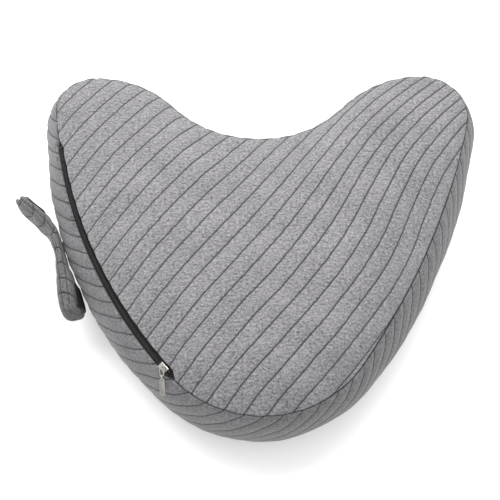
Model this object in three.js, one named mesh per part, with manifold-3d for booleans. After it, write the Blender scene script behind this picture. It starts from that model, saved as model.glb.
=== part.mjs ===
// Nursing pillow: a quilted cover with a zip fastener and a padded strap,
// round an inner liner that holds the fibre fill.
//
// Frame: millimetres, +Z up. The pillow lies flat on its bottom panel, the
// waist recess opens towards +Y and the convex front faces -Y. The origin is
// on the floor, on the flat rest face of the bottom panel.

import * as THREE from 'three';
import { mergeVertices } from 'three/addons/utils/BufferGeometryUtils.js';
import Module from 'manifold-3d';

const wasm = await Module();
wasm.setup();

// ---------------------------------------------------------------- sizes

// Seam outline, seen from above. It starts at the middle of the front and
// runs round each side through five tangent arcs: front, side, lobe corner,
// lobe back and recess. Angles are headings in degrees, 0 across the front.
const FRONT_Y = -205;
const FRONT_RADIUS = 137;
const RECESS_Y = 133;
const LOBE_BACK_RADIUS = 127;
const RIGHT = { sign: 1, halfWidth: 255, depth: 425, sideStart: 54, cornerRadius: 53.14 };
const LEFT = { sign: -1, halfWidth: 240, depth: 419, sideStart: 49, cornerRadius: 46.43 };

// Heights and fullness of the stuffed cover.
const TOP_SEAM_Z = 135;
const BOTTOM_SEAM_Z = 22;
const CROWN = 35;
const BULGE_FRONT = 10;
const BULGE_SIDE = 23;
const BULGE_RECESS = 12;
const REST_SHARE = 0.72;
const PANEL_CENTRE_Y = -80;

// Skins, from outside to inside.
const COVER_THICKNESS = 3;
const SEAM_GAP = 0.4;
const LINER_GAP = 5.8;
const LINER_THICKNESS = 1.2;
const FILL_CLEARANCE = 1.2;

// Zip fastener in the top seam of the left side.
const ZIP_LENGTH = 315.5;
const ZIP_TILT = 33;
const SLOT_HALF = 6.6;
const SLOT_RAMP = 9;
const TAPE_CLEARANCE = 2.2;
const TAPE_THICKNESS = 0.6;
const TAPE_MARGIN = 0.5;
const TAPE_REACH = 11;
const TAPE_TUCK = 1.2;
const CHAIN_GAP = 0.9;
const COIL_WIDTH = 1.9;
const COIL_HEIGHT = 1.8;
const TOUCH_GAP = 0.3;
const STOP_LENGTH = 3;
const STOP_INSET = 2;

// Slider and pull.
const SLIDER_LENGTH = 11;
const SLIDER_HALF_WIDTH = 4;
const SLIDER_PLATE = 1.2;
const SLIDER_LOWER_PLATE = 1;
const SLIDER_RUN = 0.4;
const SLIDER_FLANGE = 0.8;
const SLIDER_POST = 0.8;
const SLIDER_BEVEL = 0.4;
const BRIDGE_LENGTH = 5;
const BRIDGE_WIDTH = 1.2;
const BRIDGE_WALL = 0.8;
const BRIDGE_HEIGHT = 3.8;
const BRIDGE_ROUND = 1;
const PULL_YAW = 45;
const LINK_WIRE = 1;
const LINK_AXIS_LIFT = 2.3;
const LINK_HALF_WIDTH = 3.7;
const LINK_TIP_HALF_WIDTH = 2.4;
const LINK_LENGTH = 8.6;
const LINK_CORNER = 1.4;
const TAB_BARREL_WIDTH = 2.2;
const TAB_BORE_CLEARANCE = 0.12;
const TAB_BARREL_WALL = 0.55;
const TAB_THICKNESS = 1.3;
const TAB_LENGTH = 22;
const TAB_HALF_WIDTH = 3.3;
const TAB_NECK = 1;
const TAB_SHOULDER = 1.6;
const TAB_EYE = 0.9;
const TAB_RECESS_LENGTH = 6.2;
const TAB_RECESS_WIDTH = 4;
const TAB_RECESS_DEPTH = 0.3;
const TAB_RECESS_INSET = 4.6;
const TAB_DROOP = 6;

// Padded strap, sewn to the left side of the band.
const STRAP_ROOT_SHARE = 0.705;
const STRAP_Z = 80;
const STRAP_WIDTH = 48;
const STRAP_STAND_OFF = 0.5;
const STRAP_ROOT_LENGTH = 12;
const STRAP_ROOT_THICKNESS = 4;
const STRAP_SKIN = 1.6;
const STRAP_HINGE_GAP = 1.5;
const STRAP_FOLD_GAP = 2;
const UPPER_FLAP_LENGTH = 67;
const UPPER_FLAP_SPLAY = 24;
const UPPER_FLAP_THICKNESS = 15;
const UPPER_TIP_RADIUS = 16;
const LOWER_FLAP_LENGTH = 96;
const LOWER_FLAP_SPLAY = 2.5;
const LOWER_FLAP_THICKNESS = 22;
const LOWER_TIP_RADIUS = 22;
const PATCH_LENGTH = 30;
const PATCH_WIDTH = 34;
const PATCH_THICKNESS = 0.8;
const PATCH_TIP_MARGIN = 9;

// Longest facets of the outline: front, side, corner, back and recess arcs.
const RIGHT_FACETS = [26, 38, 12.2, 26, 41];
const LEFT_FACETS = [26, 25.5, 10.5, 26, 41];
const ZIP_STEPS = 22;

// ---------------------------------------------------------------- materials

const jersey = { color: 0x86868a, roughness: 0.95, metalness: 0 };
const liner = { color: 0xeeeeea, roughness: 0.9, metalness: 0 };
const fibre = { color: 0xf7f7f4, roughness: 1, metalness: 0 };
const tapeBlack = { color: 0x141415, roughness: 0.85, metalness: 0 };
const coilBlack = { color: 0x1b1b1d, roughness: 0.5, metalness: 0 };
const nickel = { color: 0xb9b4aa, roughness: 0.3, metalness: 1 };
const hookBlack = { color: 0x0d0d0e, roughness: 0.9, metalness: 0 };

// ---------------------------------------------------------------- outline

const rad = THREE.MathUtils.degToRad;
const { sin, cos, PI } = Math;

// Radius of the side arc and the heading where it meets the lobe corner, such
// that the arcs reach both the half width and the depth.
function sideArc(side) {
  const a = rad(side.sideStart);
  const corner = side.cornerRadius;
  const wide = side.halfWidth - FRONT_RADIUS * sin(a);
  const deep = side.depth - FRONT_RADIUS * (1 - cos(a));
  const radiusFor = (b) => (wide - corner * (1 - sin(b))) / (sin(b) - sin(a));
  const depthFor = (b) => radiusFor(b) * (cos(a) - cos(b)) + corner * (1 + cos(b));
  let low = a + 1e-6;
  let high = PI - a - 1e-6;
  for (let i = 0; i < 60; i += 1) {
    const middle = (low + high) / 2;
    if (depthFor(middle) < deep) low = middle;
    else high = middle;
  }
  return { radius: radiusFor(low), end: low };
}

// The recess radius is solved so that it meets the lobe back tangentially.
function sideArcs(side) {
  const a = rad(side.sideStart);
  const { radius: sideRadius, end: b } = sideArc(side);
  const { cornerRadius } = side;
  const tipX = side.halfWidth - cornerRadius;
  const backY = FRONT_Y + side.depth - LOBE_BACK_RADIUS;
  const drop = RECESS_Y - backY;
  const recessRadius = (tipX ** 2 + drop ** 2 - LOBE_BACK_RADIUS ** 2) / (2 * (LOBE_BACK_RADIUS - drop));
  const end = PI + Math.atan2(tipX, RECESS_Y + recessRadius - backY);
  const arcs = [];
  let at = { x: 0, y: FRONT_Y, heading: 0 };
  const add = (radius, heading) => {
    const turn = heading - at.heading;
    const length = radius * Math.abs(turn);
    const arc = { ...at, radius, turn, length };
    arcs.push(arc);
    at = alongArc(arc, length);
  };
  add(FRONT_RADIUS, a);
  add(sideRadius, b);
  add(cornerRadius, PI);
  add(LOBE_BACK_RADIUS, end);
  add(recessRadius, PI);
  return arcs;
}

function alongArc(arc, distance) {
  const left = Math.sign(arc.turn);
  const heading = arc.heading + (left * distance) / arc.radius;
  return {
    x: arc.x + left * arc.radius * (sin(heading) - sin(arc.heading)),
    y: arc.y + left * arc.radius * (cos(arc.heading) - cos(heading)),
    heading,
  };
}

const arcsOf = new Map([[RIGHT, sideArcs(RIGHT)], [LEFT, sideArcs(LEFT)]]);
const lengthOf = (side) => arcsOf.get(side).reduce((sum, arc) => sum + arc.length, 0);

// Seam point at a signed distance from the front middle, positive to the right.
function outlinePoint(s) {
  const side = s >= 0 ? RIGHT : LEFT;
  const arcs = arcsOf.get(side);
  let left = Math.abs(s);
  let index = 0;
  while (index < arcs.length - 1 && left > arcs[index].length) {
    left -= arcs[index].length;
    index += 1;
  }
  const { x, y, heading } = alongArc(arcs[index], left);
  const point = new THREE.Vector3(side.sign * x, y, 0);
  const outward = new THREE.Vector3(side.sign * sin(heading), -cos(heading), 0);
  return { point, outward };
}

function arcStart(side, index) {
  return arcsOf.get(side).slice(0, index).reduce((sum, arc) => sum + arc.length, 0);
}

// ---------------------------------------------------------------- skin

// How far the side band stands out beyond the seam at mid height.
function bulgeAt(point) {
  const c = -point.y / Math.hypot(point.x, point.y);
  if (c > 0) return BULGE_SIDE + (BULGE_FRONT - BULGE_SIDE) * c ** 4;
  return BULGE_SIDE + (BULGE_RECESS - BULGE_SIDE) * Math.min(1, 2 * c * c);
}

const panelCentre = new THREE.Vector3(0, PANEL_CENTRE_Y, 0);
const bandHeight = TOP_SEAM_Z - BOTTOM_SEAM_Z;

// Outer skin of the cover. w runs from -1 at the middle of the top panel
// through 0 at the top seam and 1 at the bottom seam to 2 at the middle of
// the bottom panel.
function skin(s, w) {
  const { point, outward } = outlinePoint(s);
  if (w <= 0) {
    const share = 1 + w;
    const z = TOP_SEAM_Z + CROWN * (1 - share ** 3);
    return panelCentre.clone().lerp(point, share).setZ(z);
  }
  if (w < 1) {
    const out = bulgeAt(point) * sin(PI * w) ** 0.7;
    return point.addScaledVector(outward, out).setZ(TOP_SEAM_Z - bandHeight * w);
  }
  const share = 2 - w;
  const rise = Math.max(0, (share - REST_SHARE) / (1 - REST_SHARE));
  return panelCentre.clone().lerp(point, share).setZ(BOTTOM_SEAM_Z * rise ** 2);
}

// Moves w across the skin by a distance, over either seam.
function across(s, w, distance) {
  const panel = outlinePoint(s).point.distanceTo(panelCentre);
  let run = w < 0 ? w * panel : Math.min(w, 1) * bandHeight + Math.max(0, w - 1) * panel;
  run += distance;
  if (run < 0) return Math.max(-1, run / panel);
  if (run < bandHeight) return run / bandHeight;
  return Math.min(2, 1 + (run - bandHeight) / panel);
}

// Value of w at a straight distance from the top seam, on the top panel when
// side is -1 and on the band when it is 1.
function awayFromSeam(s, side, distance) {
  const seam = skin(s, 0);
  let near = 0;
  let far = 0.5;
  for (let i = 0; i < 24; i += 1) {
    const middle = (near + far) / 2;
    if (skin(s, side * middle).distanceTo(seam) < distance) near = middle;
    else far = middle;
  }
  return side * near;
}

// A point below the skin. The normal is averaged over a few millimetres, so
// that layers on both sides of a seam share one mitre there.
function below(s, w, depth) {
  const reach = 4;
  const along = 2;
  if (w <= -1) return skin(s, -1).setZ(skin(s, -1).z - depth);
  if (w >= 2) return skin(s, 2).setZ(depth);
  const from = skin(s, across(s, w, -reach));
  const to = skin(s, across(s, w, reach));
  const ahead = skin(s + along, w);
  const behind = skin(s - along, w);
  const normal = to.sub(from).cross(ahead.sub(behind)).normalize();
  return skin(s, w).addScaledVector(normal, -depth);
}

// Half width of the opening in the top seam, wide only along the zip.
function slotHalf(s) {
  const inside = Math.min(-s - zipStart + SLOT_RAMP, zipEnd + SLOT_RAMP + s);
  const share = THREE.MathUtils.clamp(inside / SLOT_RAMP, 0, 1);
  return Math.max(SEAM_GAP / 2, SLOT_HALF * share);
}

// ---------------------------------------------------------------- stations

const zipStart = arcStart(LEFT, 1);
const zipEnd = zipStart + ZIP_LENGTH;

function spread(from, to, steps) {
  const list = [];
  for (let i = 0; i < steps; i += 1) list.push(from + ((to - from) * i) / steps);
  return list;
}

function stationsOf(side, facets) {
  const list = [];
  arcsOf.get(side).forEach(({ length }, index) => {
    const from = arcStart(side, index);
    list.push(...spread(from, from + length, Math.ceil(length / facets[index])));
  });
  return [...list, lengthOf(side)];
}

// The left side has extra stations where the zip slot opens and closes.
function leftStations() {
  const marks = [zipStart - SLOT_RAMP, zipEnd, zipEnd + SLOT_RAMP];
  const apart = 4;
  const clear = (s) => marks.every((mark) => Math.abs(mark - s) > apart);
  const rest = stationsOf(LEFT, LEFT_FACETS).filter(clear);
  return [...rest, ...marks].sort((a, b) => a - b);
}

const rightSide = stationsOf(RIGHT, RIGHT_FACETS);
const leftSide = leftStations().map((s) => -s).reverse();
const loop = [...leftSide.slice(1, -1), ...rightSide];

// Lobe tips, where the outer and the recess band are joined.
const leftTip = -arcStart(LEFT, 3);
const rightTip = arcStart(RIGHT, 3);

// ---------------------------------------------------------------- solids

class Solid {
  constructor() {
    this.positions = [];
  }

  triangle(a, b, c) {
    for (const p of [a, b, c]) this.positions.push(p.x, p.y, p.z);
  }

  // A quad given anticlockwise from outside.
  quad(a, b, c, d) {
    this.triangle(a, b, c);
    this.triangle(a, c, d);
  }

  // Joins neighbouring rows of points. Rows that start at one shared point
  // make a fan there.
  sheet(rows, wrap, flip) {
    const count = wrap ? rows.length : rows.length - 1;
    for (let i = 0; i < count; i += 1) {
      const a = rows[i];
      const b = rows[(i + 1) % rows.length];
      for (let j = 0; j < a.length - 1; j += 1) {
        const quad = [a[j], a[j + 1], b[j + 1], b[j]].filter(
          (p, k, all) => p.distanceTo(all[(k + 1) % all.length]) > 1e-6,
        );
        if (flip) quad.reverse();
        if (quad.length === 4) this.quad(...quad);
        if (quad.length === 3) this.triangle(...quad);
      }
    }
  }

  geometry() {
    const geometry = new THREE.BufferGeometry();
    geometry.setAttribute('position', new THREE.Float32BufferAttribute(this.positions, 3));
    const merged = mergeVertices(geometry, 1e-5);
    merged.computeVertexNormals();
    return merged;
  }
}

// A closed layer between two matching sets of rows. closedStart is true when
// every row starts at the middle of a panel, so there is no edge there.
function layer(outer, inner, { wrap, closedStart = false }) {
  const solid = new Solid();
  solid.sheet(outer, wrap, false);
  solid.sheet(inner, wrap, true);
  const last = outer[0].length - 1;
  solid.sheet(outer.map((row, i) => [row[last], inner[i][last]]), wrap, false);
  if (!closedStart) solid.sheet(outer.map((row, i) => [inner[i][0], row[0]]), wrap, false);
  if (!wrap) {
    const end = outer.length - 1;
    solid.sheet([inner[0], outer[0]], false, false);
    solid.sheet([outer[end], inner[end]], false, false);
  }
  return solid.geometry();
}

const topRings = [-1, -0.65, -0.4, -0.22, -0.1, -0.04];
const bandRings = [0.065, 0.13, 0.27, 0.5, 0.73, 0.87, 0.95];
const bottomRings = [1.06, 1.14, 1 + (1 - REST_SHARE), 1.6, 2];
const softTopRings = [-1, -0.5, -0.2, -0.06];
const softBandRings = [0.08, 0.25, 0.5, 0.75, 0.92];
const softBottomRings = [1.1, 1 + (1 - REST_SHARE), 2];

const rows = (list, depth) => list.map(({ s, ws }) => ws.map((w) => below(s, w, depth)));

function topPanel() {
  const list = loop.map((s) => {
    return { s, ws: [...topRings, awayFromSeam(s, -1, slotHalf(s))] };
  });
  return layer(rows(list, 0), rows(list, COVER_THICKNESS), { wrap: true, closedStart: true });
}

function bottomPanel() {
  const list = loop.map((s) => {
    return { s, ws: [...[...bottomRings].reverse(), across(s, 1, SEAM_GAP / 2)] };
  });
  // The rings run outwards from the middle, so the sheet faces are turned.
  const outer = rows(list, 0).reverse();
  const inner = rows(list, COVER_THICKNESS).reverse();
  return layer(outer, inner, { wrap: true, closedStart: true });
}

// Part of the side band between two stations.
function bandPanel(from, to) {
  const half = SEAM_GAP / 2;
  const between = (s) => (from < to ? s > from && s < to : s > from || s < to);
  const kept = loop.filter((s) => between(s) && Math.abs(s - from) > 1 && Math.abs(s - to) > 1);
  const ordered = from < to ? kept : [...kept.filter((s) => s > from), ...kept.filter((s) => s < to)];
  const stations = [from + half, ...ordered, to - half];
  const list = stations.map((s) => {
    return { s, ws: [awayFromSeam(s, 1, slotHalf(s)), ...bandRings, 1 - half / bandHeight] };
  });
  return layer(rows(list, 0), rows(list, COVER_THICKNESS), { wrap: false });
}

// ---------------------------------------------------------------- liner and fill

const linerDepth = COVER_THICKNESS + LINER_GAP;

function linerPanel(rings, seam, turned) {
  const inwards = (SEAM_GAP / 2) * (turned ? 1 : -1);
  const list = loop.map((s) => ({ s, ws: [...rings, across(s, seam, inwards)] }));
  const outer = rows(list, linerDepth);
  const inner = rows(list, linerDepth + LINER_THICKNESS);
  if (turned) {
    outer.reverse();
    inner.reverse();
  }
  return layer(outer, inner, { wrap: true, closedStart: true });
}

function linerBand() {
  const half = SEAM_GAP / 2 / bandHeight;
  const list = loop.map((s) => ({ s, ws: [half, ...softBandRings, 1 - half] }));
  const outer = rows(list, linerDepth);
  const inner = rows(list, linerDepth + LINER_THICKNESS);
  return layer(outer, inner, { wrap: true });
}

function fibreFill() {
  const depth = linerDepth + LINER_THICKNESS + FILL_CLEARANCE;
  const ws = [...softTopRings, 0, ...softBandRings, 1, ...softBottomRings];
  const solid = new Solid();
  solid.sheet(rows(loop.map((s) => ({ s, ws })), depth), true, false);
  return solid.geometry();
}

// ---------------------------------------------------------------- zip chain

// Frame of the zip at a station: along the chain towards the lobe, across it
// outwards and down, and straight out of the tape.
function zipAxes(s) {
  const { point, outward } = outlinePoint(-s);
  const along = new THREE.Vector3(outward.y, -outward.x, 0);
  const tilt = rad(ZIP_TILT);
  const up = new THREE.Vector3(0, 0, 1);
  const across = outward.clone().multiplyScalar(cos(tilt)).addScaledVector(up, -sin(tilt));
  const out = outward.clone().multiplyScalar(sin(tilt)).addScaledVector(up, cos(tilt));
  return { origin: point.setZ(TOP_SEAM_Z), along, across, out };
}

function zipPoint(s, across, out) {
  const axes = zipAxes(s);
  return axes.origin.addScaledVector(axes.across, across).addScaledVector(axes.out, out);
}

// A closed bar along the chain. section(s) lists its corners, anticlockwise
// when seen from the front end of the zip looking towards the lobe.
function zipBar(from, to, steps, section) {
  const sections = [...spread(from, to, steps), to].map(section);
  const solid = new Solid();
  solid.sheet(sections.map((ring) => [...ring, ring[0]]), false, false);
  // Each end is capped in quads between the first and second half of the ring.
  const cap = (ring, flip) => {
    for (let k = 0; k < ring.length / 2 - 1; k += 1) {
      const last = ring.length - 1 - k;
      const quad = [ring[k], ring[k + 1], ring[last - 1], ring[last]];
      if (flip) quad.reverse();
      solid.quad(...quad);
    }
  };
  cap(sections[0], true);
  cap(sections[sections.length - 1], false);
  return solid.geometry();
}

const tapeTop = -COVER_THICKNESS - TAPE_CLEARANCE;
const tapeUnder = tapeTop - TAPE_THICKNESS;
const coilUnder = tapeTop + TOUCH_GAP;
const coilTop = coilUnder + COIL_HEIGHT;

// side is -1 for the half sewn to the top panel, 1 for the half on the band.
function tape(side) {
  const tuck = COVER_THICKNESS + TAPE_TUCK;
  const bend = SLIDER_HALF_WIDTH + TAPE_MARGIN;
  const at = (s, distance, depth) => below(-s, awayFromSeam(-s, side, distance), depth);
  const section = (s) => {
    const ring = [
      zipPoint(s, side * CHAIN_GAP, tapeUnder),
      zipPoint(s, side * bend, tapeUnder),
      at(s, SLOT_HALF, tuck + TAPE_THICKNESS),
      at(s, TAPE_REACH, tuck + TAPE_THICKNESS),
      at(s, TAPE_REACH, tuck),
      at(s, SLOT_HALF, tuck),
      zipPoint(s, side * bend, tapeTop),
      zipPoint(s, side * CHAIN_GAP, tapeTop),
    ];
    return side > 0 ? ring : ring.reverse();
  };
  return zipBar(zipStart, zipEnd, ZIP_STEPS, section);
}

function blockOnTape(side, from, to, steps, height) {
  const inner = side * CHAIN_GAP;
  const outer = side * (CHAIN_GAP + COIL_WIDTH);
  return zipBar(from, to, steps, (s) => {
    const ring = [
      zipPoint(s, inner, coilUnder),
      zipPoint(s, outer, coilUnder),
      zipPoint(s, outer, coilUnder + height),
      zipPoint(s, inner, coilUnder + height),
    ];
    return side > 0 ? ring : ring.reverse();
  });
}

const chainStart = zipStart + STOP_INSET + STOP_LENGTH + TOUCH_GAP;
const chainEnd = zipEnd - STOP_INSET - STOP_LENGTH - TOUCH_GAP;

function coil(side) {
  return blockOnTape(side, chainStart, chainEnd, ZIP_STEPS, COIL_HEIGHT);
}

function topStop(side) {
  const from = zipStart + STOP_INSET;
  return blockOnTape(side, from, from + STOP_LENGTH, 1, COIL_HEIGHT);
}

function bottomStop() {
  const to = zipEnd - STOP_INSET;
  const half = CHAIN_GAP + COIL_WIDTH;
  return zipBar(to - STOP_LENGTH, to, 1, (s) => [
    zipPoint(s, -half, coilUnder),
    zipPoint(s, half, coilUnder),
    zipPoint(s, half, coilTop),
    zipPoint(s, -half, coilTop),
  ]);
}

// ---------------------------------------------------------------- booleans

function toManifold(geometry) {
  const bare = geometry.clone();
  bare.deleteAttribute('normal');
  bare.deleteAttribute('uv');
  const merged = mergeVertices(bare, 1e-5);
  return new wasm.Manifold(
    new wasm.Mesh({
      numProp: 3,
      vertProperties: new Float32Array(merged.attributes.position.array),
      triVerts: new Uint32Array(merged.index.array),
    }),
  );
}

function fromManifold(solid) {
  const mesh = solid.getMesh();
  const geometry = new THREE.BufferGeometry();
  geometry.setAttribute('position', new THREE.Float32BufferAttribute(mesh.vertProperties, 3));
  geometry.setIndex([...mesh.triVerts]);
  geometry.computeVertexNormals();
  return geometry;
}

const join = (a, b) => fromManifold(toManifold(a).add(toManifold(b)));
const cut = (a, b) => fromManifold(toManifold(a).subtract(toManifold(b)));

function extrude(shape, depth, curveSegments = 6) {
  return new THREE.ExtrudeGeometry(shape, { depth, bevelEnabled: false, steps: 1, curveSegments });
}

// ---------------------------------------------------------------- slider and pull

// The slider and pull are drawn in the zip frame: x along the chain, y across
// it towards the band and z out of the tape.
const plateUnder = coilTop + SLIDER_RUN;
const plateTop = plateUnder + SLIDER_PLATE;
const lowerPlateTop = tapeUnder - TOUCH_GAP * 2;

function sliderBody() {
  const w = SLIDER_HALF_WIDTH;
  const post = SLIDER_POST / 2;
  const flangeEnd = tapeTop + TOUCH_GAP * 2;
  const lower = w - SLIDER_FLANGE / 2;
  const half = [
    [post, plateUnder],
    [w - SLIDER_FLANGE, plateUnder],
    [w - SLIDER_FLANGE, flangeEnd],
    [w, flangeEnd],
    [w, plateTop - SLIDER_BEVEL],
    [w - SLIDER_BEVEL, plateTop],
  ];
  const foot = [
    [lower, lowerPlateTop - SLIDER_LOWER_PLATE],
    [lower, lowerPlateTop],
    [post, lowerPlateTop],
  ];
  const right = [...foot, ...half];
  const left = right.map(([y, z]) => [-y, z]).reverse();
  const shape = new THREE.Shape([...right, ...left].map(([y, z]) => new THREE.Vector2(y, z)));
  const geometry = extrude(shape, SLIDER_LENGTH);
  geometry.translate(0, 0, -SLIDER_LENGTH / 2);
  return geometry.applyMatrix4(yzxBasis());
}

// Turns a drawing in the x-y plane, extruded along z, so that it lies in the
// zip frame's y-z plane and runs along x.
function yzxBasis() {
  return new THREE.Matrix4().makeBasis(
    new THREE.Vector3(0, 1, 0),
    new THREE.Vector3(0, 0, 1),
    new THREE.Vector3(1, 0, 0),
  );
}

function sliderBridge() {
  const base = plateTop + TOUCH_GAP;
  const half = BRIDGE_LENGTH / 2;
  const top = base + BRIDGE_HEIGHT;
  const round = BRIDGE_ROUND;
  const shape = new THREE.Shape();
  shape.moveTo(-half, base);
  shape.lineTo(-half + BRIDGE_WALL, base);
  shape.lineTo(-half + BRIDGE_WALL, top - BRIDGE_WALL);
  shape.lineTo(half - BRIDGE_WALL, top - BRIDGE_WALL);
  shape.lineTo(half - BRIDGE_WALL, base);
  shape.lineTo(half, base);
  shape.absarc(half - round, top - round, round, 0, PI / 2, false);
  shape.absarc(-half + round, top - round, round, PI / 2, PI, false);
  shape.lineTo(-half, base);
  const geometry = extrude(shape, BRIDGE_WIDTH, 4);
  geometry.translate(0, 0, -BRIDGE_WIDTH / 2);
  return geometry.rotateX(PI / 2);
}

// The pull is drawn with x along it, y across it and z out of the tape, from
// the wire that turns under the slider's bridge.
function taperedLoop(grow) {
  const back = -LINK_WIRE / 2 - grow;
  const wide = LINK_HALF_WIDTH + grow;
  const tip = LINK_LENGTH + LINK_WIRE / 2 + grow;
  const narrow = LINK_TIP_HALF_WIDTH + grow;
  const round = LINK_CORNER + grow;
  const corners = [[back, -wide], [tip, -narrow], [tip, narrow], [back, wide]];
  const points = corners.map(([x, y]) => new THREE.Vector2(x, y));
  const shape = new THREE.Shape();
  points.forEach((corner, i) => {
    const before = points[(i + 3) % 4];
    const after = points[(i + 1) % 4];
    const enter = corner.clone().add(before.clone().sub(corner).setLength(round));
    const leave = corner.clone().add(after.clone().sub(corner).setLength(round));
    if (i === 0) shape.moveTo(enter.x, enter.y);
    else shape.lineTo(enter.x, enter.y);
    shape.quadraticCurveTo(corner.x, corner.y, leave.x, leave.y);
  });
  shape.closePath();
  return shape;
}

function pullLink() {
  const shape = taperedLoop(0);
  const hole = taperedLoop(-LINK_WIRE);
  shape.holes.push(new THREE.Path(hole.getPoints(4).reverse()));
  const geometry = extrude(shape, LINK_WIRE, 4);
  return geometry.translate(0, 0, -LINK_WIRE / 2);
}

function roundedPlate(from, to, halfWidth, radius) {
  const shape = new THREE.Shape();
  shape.moveTo(from, -halfWidth);
  shape.lineTo(to - radius, -halfWidth);
  shape.absarc(to - radius, radius - halfWidth, radius, -PI / 2, 0, false);
  shape.absarc(to - radius, halfWidth - radius, radius, 0, PI / 2, false);
  shape.lineTo(from, halfWidth);
  shape.closePath();
  return shape;
}

// The tab's own frame starts at the wire that it turns on.
function pullTab() {
  const bore = (LINK_WIRE / 2) * Math.SQRT2 + TAB_BORE_CLEARANCE;
  const barrel = bore + TAB_BARREL_WALL;
  const ring = new THREE.Shape();
  ring.absarc(0, 0, barrel, 0, 2 * PI, false);
  const shoulder = barrel + TAB_NECK + TAB_SHOULDER;
  const barrelSolid = extrude(ring, TAB_BARREL_WIDTH, 10).translate(0, 0, -TAB_BARREL_WIDTH / 2);
  barrelSolid.rotateX(PI / 2);
  const neck = new THREE.Shape([
    new THREE.Vector2(0, -TAB_BARREL_WIDTH / 2),
    new THREE.Vector2(barrel + TAB_NECK, -TAB_BARREL_WIDTH / 2),
    new THREE.Vector2(shoulder, -TAB_HALF_WIDTH),
    new THREE.Vector2(shoulder, TAB_HALF_WIDTH),
    new THREE.Vector2(barrel + TAB_NECK, TAB_BARREL_WIDTH / 2),
    new THREE.Vector2(0, TAB_BARREL_WIDTH / 2),
  ]);
  const lift = -TAB_THICKNESS / 2;
  const neckSolid = extrude(neck, TAB_THICKNESS).translate(0, 0, lift);
  const plate = roundedPlate(shoulder - 0.2, TAB_LENGTH, TAB_HALF_WIDTH, TAB_HALF_WIDTH - 0.1);
  const plateSolid = extrude(plate, TAB_THICKNESS, 6).translate(0, 0, lift);
  const round = (x, rx, ry, height) => {
    const shape = new THREE.Shape();
    shape.absellipse(x, 0, rx, ry, 0, 2 * PI, false, 0);
    return extrude(shape, height, 8);
  };
  const boreShape = new THREE.Shape();
  boreShape.absarc(0, 0, bore, 0, 2 * PI, false);
  const boreSolid = extrude(boreShape, TAB_BARREL_WIDTH + 2, 8).translate(0, 0, -TAB_BARREL_WIDTH / 2 - 1);
  boreSolid.rotateX(PI / 2);
  const eye = round(shoulder + TAB_EYE * 1.5, TAB_EYE, TAB_EYE, TAB_THICKNESS + 2);
  eye.translate(0, 0, lift - 1);
  const recess = round(TAB_LENGTH - TAB_RECESS_INSET, TAB_RECESS_LENGTH / 2, TAB_RECESS_WIDTH / 2, 1);
  recess.translate(0, 0, -lift - TAB_RECESS_DEPTH);
  return [boreSolid, eye, recess].reduce(cut, join(join(barrelSolid, neckSolid), plateSolid));
}

const sliderAt = chainStart + SLIDER_LENGTH / 2 + TOUCH_GAP;

function turnTo(x, y, z) {
  const basis = new THREE.Matrix4().makeBasis(x, y, z);
  return new THREE.Quaternion().setFromRotationMatrix(basis);
}

function zipQuaternion(s) {
  const axes = zipAxes(s);
  return turnTo(axes.along, axes.across, axes.out);
}

const turnAbout = (axis, degrees) => new THREE.Quaternion().setFromAxisAngle(axis, rad(degrees));
const ACROSS = new THREE.Vector3(0, 1, 0);
const OUT = new THREE.Vector3(0, 0, 1);

// The pull points away from the chain, back over the front and the band.
const linkTurn = zipQuaternion(sliderAt).multiply(turnAbout(OUT, 180 - PULL_YAW));
const linkAxis = zipPoint(sliderAt, 0, plateTop + LINK_AXIS_LIFT);
const tabTurn = linkTurn.clone().multiply(turnAbout(ACROSS, TAB_DROOP));
const tabAxis = new THREE.Vector3(LINK_LENGTH, 0, 0).applyQuaternion(linkTurn).add(linkAxis);

// ---------------------------------------------------------------- strap

// The strap's frame at the sewn line: x along the outline towards the lobe,
// y outwards and z up.
const strapStation = zipStart + (zipEnd - zipStart) * STRAP_ROOT_SHARE;
const strapBase = (() => {
  const { point, outward } = outlinePoint(-strapStation);
  const along = new THREE.Vector3(outward.y, -outward.x, 0);
  const out = bulgeAt(point) + STRAP_STAND_OFF;
  return { origin: point.addScaledVector(outward, out).setZ(STRAP_Z), along, outward };
})();

function strapRoot() {
  const h = STRAP_WIDTH / 2;
  const l = STRAP_ROOT_LENGTH / 2;
  const corners = [[-l, -h], [l, -h], [l, h], [-l, h]];
  const shape = new THREE.Shape(corners.map(([x, y]) => new THREE.Vector2(x, y)));
  return extrude(shape, STRAP_ROOT_THICKNESS);
}

// A flap lies in its own x-z plane, drawn in x-y and extruded outwards. Its
// frame starts at the fold line, on the root's outer face.
const flapInner = -STRAP_ROOT_THICKNESS + STRAP_STAND_OFF;

function flapOutline(length, tipRadius, inset) {
  const h = STRAP_WIDTH / 2 - inset;
  return roundedPlate(STRAP_FOLD_GAP + inset, length - inset, h, tipRadius - inset);
}

function flapTray({ length, tip, thickness }, outside) {
  const half = thickness / 2;
  const shell = extrude(flapOutline(length, tip, 0), half - SEAM_GAP / 2, 6);
  const pocket = extrude(flapOutline(length, tip, STRAP_SKIN), half, 6);
  if (outside) {
    shell.translate(0, 0, flapInner + half + SEAM_GAP / 2);
    pocket.translate(0, 0, flapInner + half - STRAP_SKIN);
  } else {
    shell.translate(0, 0, flapInner);
    pocket.translate(0, 0, flapInner + STRAP_SKIN);
  }
  return cut(shell, pocket);
}

function flapWadding({ length, tip, thickness }) {
  const inset = STRAP_SKIN + TOUCH_GAP;
  const solid = extrude(flapOutline(length, tip, inset), thickness - 2 * inset, 6);
  return solid.translate(0, 0, flapInner + inset);
}

function flapPatch({ length }) {
  const to = length - PATCH_TIP_MARGIN;
  const shape = roundedPlate(to - PATCH_LENGTH, to, PATCH_WIDTH / 2, 2);
  return extrude(shape, PATCH_THICKNESS, 3).translate(0, 0, flapInner - TOUCH_GAP - PATCH_THICKNESS);
}

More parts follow.
